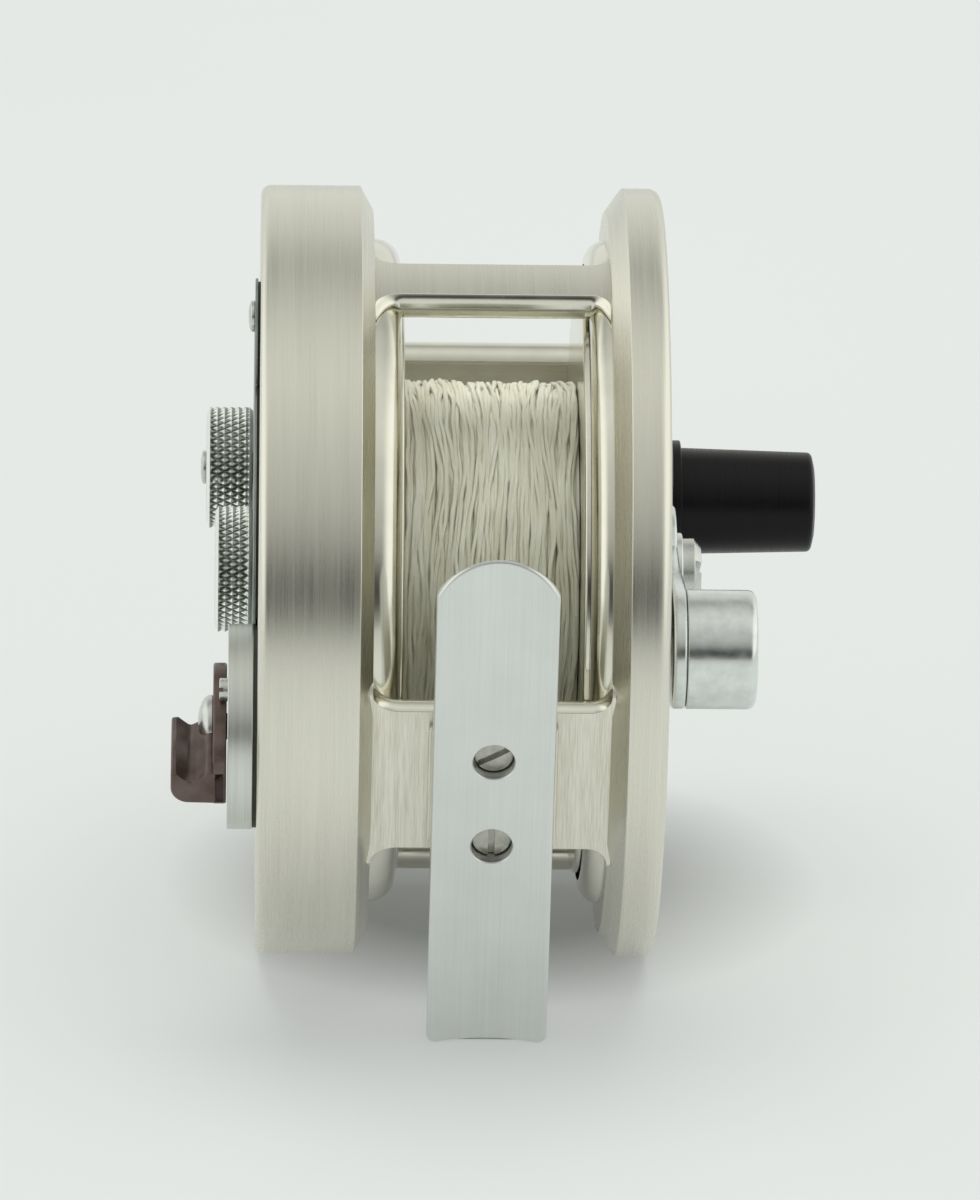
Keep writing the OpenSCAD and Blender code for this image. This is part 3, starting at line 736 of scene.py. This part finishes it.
def foot_hole(side):
    """The counterbore and the face round it."""
    hole_r, chamfer = 2.5, 0.12
    half = FOOT_W / 4 - FOOT_EDGE / 2
    zs = [z for _, z in foot_rows() if abs(z - side * FOOT_SCREW_Z) < HOLE_ROOM + 0.001]
    columns = FOOT_COLUMNS // 2
    xs = [mix(-half, half, j / columns) for j in range(columns + 1)]
    ring = [(x, zs[0]) for x in xs] + [(half, z) for z in zs[1:-1]]
    ring += [(x, zs[-1]) for x in reversed(xs)] + [(-half, z) for z in reversed(zs[1:-1])]
    centre = side * FOOT_SCREW_Z
    points = []
    layers = [(1.0, 0), (0.6, 0), (0.25, 0), (0.0, 0), (-1, chamfer), (-1, SCREW_DEPTH)]
    for share, down in layers:
        for x, z in ring:
            angle = math.atan2(z - centre, x)
            r = hole_r + (chamfer if share >= 0 else 0)
            cx, cz = r * math.cos(angle), centre + r * math.sin(angle)
            px, pz = (mix(cx, x, share), mix(cz, z, share)) if share >= 0 else (cx, cz)
            points.append((px, foot_top(px) - down if down < 1 else FOOT_FACE - TROUGH - SCREW_DEPTH, pz))
    count = len(ring)
    faces = grid_faces(len(layers), count, wrap=True)
    faces.append(tuple(range(len(points) - count, len(points))))
    return points, faces


def foot_border():
    """The rounded edge and the side wall all round the foot."""
    right = foot_outline()
    bottom = [(mix(-right[0][0], right[0][0], j / FOOT_COLUMNS), -FOOT_HALF, 0.0, -1.0)
              for j in range(1, FOOT_COLUMNS)]
    left = [(-x, z, -nx, nz) for x, z, nx, nz in reversed(right)]
    loop = right + left[1:] + bottom
    steps = 5
    points = []
    for x, z, nx, nz in loop:
        inner_x, inner_z = x - nx * FOOT_EDGE, z - nz * FOOT_EDGE
        top, low = foot_top(inner_x), foot_under(inner_z)
        arc = [math.pi / 2 * i / steps for i in range(steps + 1)]
        for a in arc:
            reach = FOOT_EDGE * math.sin(a)
            points.append((inner_x + nx * reach, top - FOOT_EDGE * (1 - math.cos(a)), inner_z + nz * reach))
        for a in reversed(arc):
            reach = FOOT_EDGE * math.sin(a)
            points.append((inner_x + nx * reach, low + FOOT_EDGE * (1 - math.cos(a)), inner_z + nz * reach))
    columns = 2 * (steps + 1)
    points += points[:columns]
    return points, grid_faces(len(loop) + 1, columns)


def build_foot():
    shells = [
        foot_sheet(lambda x, z: foot_top(x), True), foot_hole(-1), foot_hole(1), foot_border(),
        foot_sheet(lambda x, z: foot_under(z), False),
    ]
    foot = add_piece("foot_shoe", *join_shells(shells), reel(), "reel_frame", FOOT, "foot", sharp=40)
    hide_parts("foot")


def foot_axes(side, turn):
    """Places a screw made along x so that it points out of the foot."""
    c, s = math.cos(math.radians(turn)), math.sin(math.radians(turn))

    def place(x, u, z):
        return hub + (foot_out * x + ALONG_X * (u * c - z * s)
                      + foot_up * (side * FOOT_SCREW_Z + u * s + z * c)) * MM

    return place


def build_foot_screws():
    floor_at, head_h, head_r = FOOT_FACE - TROUGH - SCREW_DEPTH, 1.3, 2.4
    for side, turn, name in ((1, 30, "foot_screw_upper"), (-1, 90, "foot_screw_lower")):
        profile = rounded([(floor_at, 0, 0), (floor_at, head_r, 0), (floor_at + head_h, head_r, 0.3),
                           (floor_at + head_h + 0.12, 0, 0)])
        place = foot_axes(side, turn)
        screw = add_piece(name + "_head", *lathe(profile, 64), place, "reel_frame", STEEL, "steel")
        slot = plain_box(floor_at + 0.65, floor_at + 3, -4, 4, -0.4, 0.4)
        cut(screw, scratch(*slot, place))
        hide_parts(name)


# ---- turned pieces ------------------------------------------------------------------

def build_turned(name, node, body, finish, slot, place, corners, segments=96, closed=False):
    piece = add_piece(name, *lathe(rounded(corners, closed), segments, closed), place, body, finish, slot)
    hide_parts(node)
    return piece


def build_covers():
    build_turned("cover_disc", "back_cover", "reel_frame", FRAME, "frame", reel(), [
        (HOUSING_OUT, 4.1, 0.1), (HOUSING_OUT, COVER_R - PLAY, 0.2), (COVER_IN, COVER_R - PLAY, 0),
        (COVER_IN, 4.1, 0),
    ], 256, True)
    build_turned("crank_side_disc", "side_plate", "reel_frame", FRAME, "frame", reel(), [
        (RING_OUT, BEARING_R, 0.1), (RING_OUT, SIDE_R - PLAY, 0.2), (SIDE_IN, SIDE_R - PLAY, 0),
        (SIDE_IN, BEARING_BOSS_R, 0), (15.9, BEARING_BOSS_R, 0), (15.9, BEARING_R, 0)], 256, True)


def build_flush_screw(node, place, x, direction):
    """The visible head of a countersunk screw, seated in its plate."""
    head = rounded([(x - direction * 1.1, 0, 0), (x - direction * 1.1, 1.2, 0), (x, 2.2, 0.08),
                    (x + direction * 0.04, 0, 0)])
    screw = add_piece(node + "_head", *lathe(head, 48), place, "reel_frame", SCREW_SATIN, "screw_satin")
    cut(screw, scratch(*plain_box(x - 0.5, x + 0.5, -3, 3, -0.3, 0.3), place))
    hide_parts(node)


def build_small_screws():
    for i, angle in enumerate((140, 220, 305), 1):
        build_flush_screw(f"cover_screw_{i}", reel_at(angle, 42.5, 37 * i), HOUSING_OUT, -1)
    for i, angle in enumerate((30, 150, 270), 1):
        build_flush_screw(f"side_screw_{i}", reel_at(angle, 39.7, 61 * i), RING_OUT, 1)


def dome(x, r, height, rim=0.35, steps=10):
    """Profile of a domed head that looks to -x and stands on x."""
    return [(x, 0), (x, r - 0.1), (x - 0.1, r), (x - rim, r)] + [
        (x - rim - (height - rim) * math.sin(a), r * math.cos(a))
        for a in [math.pi / 2 * i / steps for i in range(1, steps + 1)]]


def build_dome(name, node, body, place, x, r, height, socket):
    """A domed screw with a hexagon socket."""
    screw = add_piece(name, *lathe(dome(x, r, height), 72), place, body, SCREW_SATIN, "screw_satin")
    hexagon = [(socket * math.cos(math.pi / 3 * i), socket * math.sin(math.pi / 3 * i)) for i in range(6)]
    points = [(px, u, z) for px in (x - height - 1, x - height * 0.45) for u, z in hexagon]
    cut(screw, scratch(points, tube_faces(2, 6), place))
    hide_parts(node)


def build_spool():
    build_turned("spool_flanges", "spool", "spool_and_crank", LIP, "spool", reel(), [
        (-14.1, 3.05, 0), (-14.1, 5, 0.1), (-12, 5, 0), (-12, 37.2, 0.4), (-10.8, 37.2, 0.4),
        (-10.8, 11, 0.3),
        (10.8, 11, 0.3), (10.8, 37.2, 0.4), (12, 37.2, 0.4), (12, 5, 0), (15.4, 5, 0.1), (15.4, 3.05, 0)],
        224, True)


def build_handle():
    grip = [(24.2, 2.05, 0), (24.2, 7.7, 0.15), (25.25, 7.7, 0.2), (25.35, 6.75, 0.1),
            (41.9, 6.3, 0.7), (42.3, 4.6, 0.6), (42.3, 0, 0)]
    build_turned("handle_grip", "handle", "handle_knob", BLACK, "black", crank_axes(-CRANK_REACH), grip, 128)


def build_counterweight():
    radius, out = 7.2, 31.75
    weight = [(ARM_OUT, 0, 0), (ARM_OUT, radius, 0.15), (out, radius, 1.1), (out, 0, 0)]
    build_turned("counterweight_turned", "counterweight", "spool_and_crank", SATIN, "satin",
                 crank_axes(CRANK_REACH), weight, 128)


def crank_outline():
    """Half widths along the arm: a round hub, a waist and a round lobe at each end."""
    lobe_r, hub_r, waist = 7.2, 8.4, 5.4
    top = []
    for i in range(-40, 41):
        u = CRANK_REACH * i / 40
        width = waist + (lobe_r - waist) * smooth(12, CRANK_REACH, abs(u))
        if abs(u) < hub_r:
            width = max(width, math.sqrt(hub_r * hub_r - u * u))
        top.append((u, width))
    arc = [math.pi / 2 * (1 - i / 12) for i in range(1, 24)]
    right = [(CRANK_REACH + lobe_r * math.cos(a), lobe_r * math.sin(a)) for a in arc]
    bottom = [(u, -w) for u, w in reversed(top)]
    left = [(-u, -z) for u, z in right]
    return top + right + bottom + left


def build_crank():
    arm = slab(crank_outline(), ARM_IN, ARM_OUT, 0.5)
    sunk, bore_r, collar_r = 23.0, 1.5, 5
    collar = rounded([(sunk, bore_r, 0), (sunk, collar_r, 0), (COLLAR_OUT, collar_r, 0.25),
                      (COLLAR_OUT, bore_r, 0)], True)
    piece = add_piece("crank_arm", *join_shells([arm, lathe(collar, 96, True)]), crank_axes(),
                      "spool_and_crank", SATIN, "satin")
    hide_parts("crank")
    head = rounded([(COLLAR_OUT, 0, 0), (COLLAR_OUT, 4.3, 0), (25.6, 4.3, 0.1), (26.5, 3.3, 0.15),
                    (26.5, 0, 0)])
    place = crank_axes(0, 0, 29)
    screw = add_piece("hub_screw_head", *lathe(head, 96), place, "spool_and_crank", SCREW_SATIN, "steel")
    cut(screw, scratch(*plain_box(25.7, 28, -6, 6, -0.65, 0.65), place))
    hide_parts("hub_screw")


# ---- back plate and knurled knobs -----------------------------------------------------

def knurl(around, pitch, low, high):
    """Relief of crossed knurling between two places along x, which it runs out before."""
    steepness, run_out = 1.15, 0.25

    def relief(x, r, angle):
        if not low < x < high:
            return r
        turns = around * angle / (2 * math.pi)
        ridge = [1 - abs(2 * ((turns + sign * (x - low) / pitch) % 1) - 1) for sign in (1, -1)]
        rise = min(min(ridge) * steepness, 1.0)
        fade = min(smooth(low, low + run_out, x), 1 - smooth(high - run_out, high, x))
        return r - KNURL_DEPTH * (1 - rise) * fade

    return relief


def build_knob(name, node, body, place, radius, x_out, around, pitch):
    """A knurled knob with so many diamonds around it, each a pitch long."""
    chamfer = 0.45
    low, high = x_out + chamfer, KNOB_IN - chamfer
    step = pitch / KNURL_STEPS
    rows = [low + i * step for i in range(int((high - low) / step) + 1)] + [high]
    profile = [(x_out, 0), (x_out, radius - 1.4), (x_out + 0.02, radius - 1.3), (x_out + 0.1, radius - 0.6)]
    profile += [(x, radius) for x in rows]
    profile += [(KNOB_IN, radius - chamfer), (KNOB_IN, 0)]
    shell = lathe(profile, around * KNURL_STEPS, relief=knurl(around, pitch, low, high))
    knob = add_piece(name, *shell, place, body, KNURLED, "knurled_steel", sharp=24)
    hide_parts(node)


def plate_outline(inset):
    """A round plate with a notch round the dial and a tab for its screw: (u, z)."""
    notch_r, tab_r = DIAL_ROOM + inset, PLATE_TAB_R - inset
    outline = []
    for i in range(720):
        a = math.pi * i / 360
        across = abs(DIAL_REACH * math.sin(a))
        reach = PLATE_R - inset
        if math.cos(a) > 0 and across < notch_r:
            reach = min(reach, DIAL_REACH * math.cos(a) - math.sqrt(notch_r ** 2 - across ** 2))
        off = abs(math.cos(a))
        if math.sin(a) > 0 and PLATE_TAB * off < tab_r:
            reach = max(reach, PLATE_TAB * math.sin(a) + math.sqrt(tab_r ** 2 - (PLATE_TAB * off) ** 2))
        elif math.sin(a) > 0:
            reach = max(reach, tab_r / off)
        outline.append((reach * math.cos(a), reach * math.sin(a)))
    return outline


def build_plate():
    plate = add_piece("back_plate_thin", *slab(plate_outline(0), PLATE_OUT, PLATE_IN, 0.1), reel(),
                      "reel_frame", PLATE, "dark_plate")
    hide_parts("back_plate")
    seal = add_piece("back_gasket_thin", *slab(plate_outline(0.4), PLATE_IN, HOUSING_OUT, 0.05), reel(),
                     "reel_frame", GASKET, "gasket")
    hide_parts("back_gasket")


def build_knobs():
    tension = reel_at(180, TENSION_REACH)
    build_knob("drag_knob_knurled", "drag_knob", "drag_adjuster", reel(), 7.8, DRAG_OUT, 50, 1.73)
    build_knob("tension_knob_knurled", "tension_knob", "tension_adjuster", tension, 7.6, TENSION_OUT, 47,
               1.78)
    build_dome("tension_dome", "tension_knob_screw", "tension_adjuster", tension, TENSION_OUT, 2.1, 0.72, 0.9)
    build_dome("plate_dome", "plate_screw", "reel_frame", reel_at(90, PLATE_TAB), PLATE_OUT, 1.9, 0.82, 0.8)


# ---- click lever and its dial ---------------------------------------------------------

def lever_section():
    """Section of the thumb tab across the arm: (x, z), with a round lower corner and a scoop on top."""
    corners = rounded([(LEVER_IN, TAB_LOW, 0.1), (TAB_OUT, TAB_LOW, 2.1), (TAB_OUT, TAB_TOP, 0.35)], steps=8)
    scoop = []
    for i in range(17):
        share = i / 16
        x = mix(-38.0, -33.75, share)
        dip = 1.1 * math.sin(math.pi * min(share * 1.1, 1))
        scoop.append((x, TAB_TOP - dip + 0.2 * smooth(0.45, 1, share)))
    rim = [(TAB_OUT, 0.9), (-38.55, 1.15), (-38.4, 1.32)]
    return corners[:-1] + rim + scoop + [(-33.4, 1.5), (LEVER_IN, 1.5)]


def tab_shell():
    """The tab, its section carried along u with softened ends."""
    section = lever_section()
    middle_x = sum(x for x, z in section) / len(section)
    middle_z = sum(z for x, z in section) / len(section)
    near, far, edge = LEVER_ARM, -0.3, 0.35
    stations = [(near, edge), (near - 0.08, 0.18), (near - edge, 0.0), (far + edge, 0.0), (far, edge)]
    points = []
    for u, inset in stations:
        for x, z in section:
            away = Vector((x - middle_x, z - middle_z))
            moved = away - away.normalized() * inset
            points.append((moved.x + middle_x, u, moved.y + middle_z))
    return points, tube_faces(len(stations), len(section))


def lever_outline():
    """Outline of the lever's base: a disc that runs out into the arm."""
    base_r, half_w = 7.7, 3.2
    start = math.radians(38)
    disc = [(base_r * math.cos(a), base_r * math.sin(a))
            for a in [start + (2 * math.pi - 2 * start) * i / 72 for i in range(73)]]
    flare = []
    u0, z0 = disc[-1]
    for i in range(1, 12):
        share = i / 12
        u = mix(u0, LEVER_ARM - 0.4, share)
        flare.append((u, mix(z0, -half_w, 1 - (1 - share) ** 2.2)))
    tip = [(LEVER_ARM - 0.12, -half_w + 0.12), (LEVER_ARM, -half_w + 0.4)]
    return disc + flare + tip + [(u, -z) for u, z in reversed(tip)] + [(u, -z) for u, z in reversed(flare)]


def build_lever():
    place = reel(DIAL_REACH)
    base = slab(lever_outline(), LEVER_OUT, LEVER_IN, 0.3)
    piece = add_piece("thumb_lever", *join_shells([base, tab_shell()]), place, "click_lever", OXBLOOD,
                      "oxblood", sharp=38)
    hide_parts("lever")
    build_dome("lever_dome", "lever_screw", "click_lever", place, LEVER_OUT, 3.8, 1.9, 1.5)


def build_dial():
    build_turned("dial_brushed", "dial_disc", "reel_frame", GREY, "brushed_grey", reel(DIAL_REACH), [
        (DIAL_OUT, 1.65, 0.05), (DIAL_OUT, 12.4, 0.15), (DIAL_IN, 12.4, 0.12), (DIAL_IN, 1.65, 0)], 160, True)
    place = reel(DIAL_REACH + 4, 8.4, 35)
    head = rounded([(-31.8, 0, 0), (-31.8, 1.4, 0), (-32.85, 1.4, 0.2), (-32.9, 0, 0)])
    screw = add_piece("dial_screw_head", *lathe(head, 48), place, "reel_frame", SCREW_SATIN, "screw_satin")
    cut(screw, scratch(*plain_box(-34, -32.4, -3, 3, -0.25, 0.25), place))
    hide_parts("dial_screw")


# ---- wound line -----------------------------------------------------------------------

LINE_R = 23.4
LINE_HALF = 10.7
STRAND = 0.32


def strand_shell(base_x, base_r, sway, seed, steps=132, sides=6):
    """One turn of line round the spool, wandering to both sides and over its neighbours."""
    shift = Vector((seed * 7.3, seed * 1.7, 0))
    points = []
    for i in range(steps):
        angle = 2 * math.pi * i / steps
        around = Vector((math.cos(angle), math.sin(angle), 0))
        common = noise.noise(around * 1.5 + Vector((0, 0, base_x * 0.2)))
        own = noise.noise(around * 1.8 + shift) + 0.3 * noise.noise(around * 6.5 + shift)
        x = base_x + sway * (1.2 * common + own)
        x = min(max(x, -LINE_HALF + STRAND), LINE_HALF - STRAND)
        lift = noise.noise(around * 4 + Vector((0, 0, base_x * 0.6)))
        r = base_r + 0.22 * noise.noise(around * 4.5 - shift) + 0.35 * lift
        for j in range(sides):
            turn = 2 * math.pi * j / sides
            rise = r + STRAND * math.sin(turn)
            points.append((x + STRAND * math.cos(turn), rise * math.cos(angle), rise * math.sin(angle)))
    points += points[:sides]
    return points, grid_faces(steps + 1, sides, wrap=True)


def build_line():
    core_r, bore_r = LINE_R - 0.95, 11.05
    core = [(-LINE_HALF, bore_r), (LINE_HALF, bore_r), (LINE_HALF, core_r), (-LINE_HALF, core_r)]
    shells = [lathe(core, 128, True)]
    for layer, (turns, r, sway) in enumerate(((40, LINE_R - 0.8, 0.35), (42, LINE_R - 0.5, 0.7),
                                              (38, LINE_R - 0.2, 0.9))):
        random.seed(11 + layer)
        for k in range(turns):
            x = mix(-LINE_HALF + STRAND, LINE_HALF - STRAND, (k + 0.5) / turns) + random.uniform(-0.15, 0.15)
            shells.append(strand_shell(x, r + random.uniform(-0.1, 0.1), sway, layer * 100 + k))
    piece = add_piece("wound_backing", *join_shells(shells), reel(), "spool_and_crank", LINE, "backing_line",
                      sharp=60)
    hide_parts("line")


# ---- CAD nodes that keep their shape ------------------------------------------------------

KEPT = [
    (GASKET, ["dial_gasket"]),
    (SATIN, ["brake_disc", "pressure_plate"]),
    (CORK, ["cork_washer"]),
    (BRASS, ["handle_bush"]),
    (STEEL, ["bearing_left", "bearing_right", "spindle", "click_wheel", "click_spring", "pawl", "pawl_pin",
             "guide_pin_1", "guide_pin_2", "counterweight_screw", "handle_axle", "drag_screw",
             "thrust_washer", "tension_stem", "lever_shaft"]),
]


def dress_kept_nodes():
    for finish, nodes in KEPT:
        for node in nodes:
            for slot in frame["nodes"][node].material_slots:
                slot.material = finish


# ---- studio ---------------------------------------------------------------------------------

PALE = (0.97, 1.0, 0.98, 1)


def build_floor():
    """A pale table with painted light: it glows a little, which lifts the shadows on it, and glows less near the
    reel, a painted shadow there.
    """
    s = Shader("table_painted_glow", 0.0, specular=0.1)
    cloudy = s.noise(s.place, 3, 3)
    s.colour(cloudy, (0.30, 0.31, 0.30), (0.32, 0.33, 0.32))
    # The emission is painted light; its strength falls near the point under the reel, painting a shadow there.
    s.shader.inputs["Emission Color"].default_value = PALE
    away = s.length(s.offset((0, 0.02, 0)))
    s.link(s.spread(away, 0.14, 0.38, 0.02, 0.042), s.shader.inputs["Emission Strength"])
    s.rough(cloudy, 0.85, 0.95)
    s.bump(s.noise(s.place, 900, 3), 0.01)
    mesh = bpy.data.meshes.new("floor")
    near, far, half = -1.2, 6.0, 4.0
    mesh.from_pydata([(-half, near, 0), (half, near, 0), (half, far, 0), (-half, far, 0)], [], [(0, 1, 2, 3)])
    mesh.materials.append(s.material)
    add_object("floor", mesh)


# Brightness of the room by the angle above the front horizon, over the top to the back one
ROOM = [(0, 0.36), (5, 0.16), (9, 0.05), (15, 0.05), (20, 0.16), (26, 0.38), (36, 0.50), (48, 0.58),
        (62, 0.68), (76, 0.78), (92, 0.74), (108, 0.60), (123, 0.42), (140, 0.70), (160, 0.80), (180, 0.82)]


def build_world():
    """Soft even light, and for reflections a room that darkens low in front and brightens at its sides."""
    world = bpy.data.worlds.new("studio")
    bpy.context.scene.world = world
    world.use_nodes = True
    tree = world.node_tree
    tree.nodes.clear()

    def node(kind, **settings):
        return new_node(tree, kind, **settings)

    place = node("ShaderNodeTexCoord")
    split = node("ShaderNodeSeparateXYZ")
    tree.links.new(place.outputs["Generated"], split.inputs[0])
    front = node("ShaderNodeMath", operation="MULTIPLY")
    front.inputs[1].default_value = -1
    tree.links.new(split.outputs["Y"], front.inputs[0])
    angle = node("ShaderNodeMath", operation="ARCTAN2")
    tree.links.new(split.outputs["Z"], angle.inputs[0])
    tree.links.new(front.outputs[0], angle.inputs[1])
    share = node("ShaderNodeMath", operation="DIVIDE")
    share.inputs[1].default_value = math.pi
    tree.links.new(angle.outputs[0], share.inputs[0])
    ramp = node("ShaderNodeValToRGB")
    fill_ramp(ramp, [(degrees / 180, (light, light * 1.02, light * 0.97)) for degrees, light in ROOM])
    tree.links.new(share.outputs[0], ramp.inputs["Fac"])
    width = node("ShaderNodeMath", operation="ABSOLUTE")
    tree.links.new(split.outputs["X"], width.inputs[0])
    to_side = node("ShaderNodeMapRange", interpolation_type="SMOOTHSTEP")
    to_side.inputs["From Min"].default_value = 0.45
    to_side.inputs["From Max"].default_value = 0.85
    tree.links.new(width.outputs[0], to_side.inputs["Value"])
    sides = node("ShaderNodeMix", data_type="RGBA")
    sides.inputs["B"].default_value = (1.12, 1.14, 1.08, 1)
    tree.links.new(to_side.outputs["Result"], sides.inputs["Factor"])
    tree.links.new(ramp.outputs["Color"], sides.inputs["A"])
    to_ground = node("ShaderNodeMapRange")
    to_ground.inputs["From Min"].default_value = 0.01
    to_ground.inputs["From Max"].default_value = -0.02
    tree.links.new(split.outputs["Z"], to_ground.inputs["Value"])
    ground = node("ShaderNodeMix", data_type="RGBA")
    ground.inputs["B"].default_value = (0.76, 0.78, 0.75, 1)
    tree.links.new(to_ground.outputs["Result"], ground.inputs["Factor"])
    tree.links.new(sides.outputs["Result"], ground.inputs["A"])
    shown = node("ShaderNodeBackground")
    tree.links.new(ground.outputs["Result"], shown.inputs["Color"])
    soft = node("ShaderNodeBackground")
    soft.inputs["Color"].default_value = PALE
    soft.inputs["Strength"].default_value = 0.68
    rays = node("ShaderNodeLightPath")
    pick = node("ShaderNodeMixShader")
    tree.links.new(rays.outputs["Is Glossy Ray"], pick.inputs["Fac"])
    tree.links.new(soft.outputs[0], pick.inputs[1])
    tree.links.new(shown.outputs[0], pick.inputs[2])
    out = node("ShaderNodeOutputWorld")
    tree.links.new(pick.outputs[0], out.inputs["Surface"])


def build_lights():
    light = bpy.data.lights.new("soft_top", "AREA")
    light.shape = "RECTANGLE"
    light.size, light.size_y = 1.0, 0.9
    light.energy = 10.5
    light.color = (1.0, 1.0, 0.98)
    lamp = add_object("soft_top", light)
    lamp.visible_glossy = False
    lamp.location = (0, 0.18, 1.1)


def build_camera():
    """A long lens, a little above the hub and rolled slightly."""
    elevation, azimuth, roll = (math.radians(a) for a in (20.0, -1.64, 1.11))
    distance, lens = 1.2, 356.2
    right_of_hub, below_hub = 0.45, 3.57
    back = Vector((math.sin(azimuth) * math.cos(elevation), -math.cos(azimuth) * math.cos(elevation),
                   math.sin(elevation)))
    side = Vector((math.cos(azimuth), math.sin(azimuth), 0))
    up = back.cross(side)
    right = side * math.cos(roll) + up * math.sin(roll)
    top = up * math.cos(roll) - side * math.sin(roll)
    place = hub + back * distance + (right * right_of_hub - top * below_hub) * MM
    data = bpy.data.cameras.new("camera")
    data.lens, data.sensor_width, data.sensor_fit = lens, 36.0, "HORIZONTAL"
    data.clip_start, data.clip_end = 0.05, 20
    camera = add_object("camera", data)
    camera.matrix_world = Matrix((
        (right.x, top.x, back.x, place.x), (right.y, top.y, back.y, place.y),
        (right.z, top.z, back.z, place.z), (0, 0, 0, 1)))
    bpy.context.scene.camera = camera


build_camera()
build_world()
build_lights()
build_floor()
build_frame()
build_foot()
build_foot_screws()
build_covers()
build_small_screws()
build_spool()
build_line()
build_crank()
build_counterweight()
build_handle()
build_plate()
build_knobs()
build_dial()
build_lever()
dress_kept_nodes()
bpy.context.scene.view_settings.view_transform = "Standard"
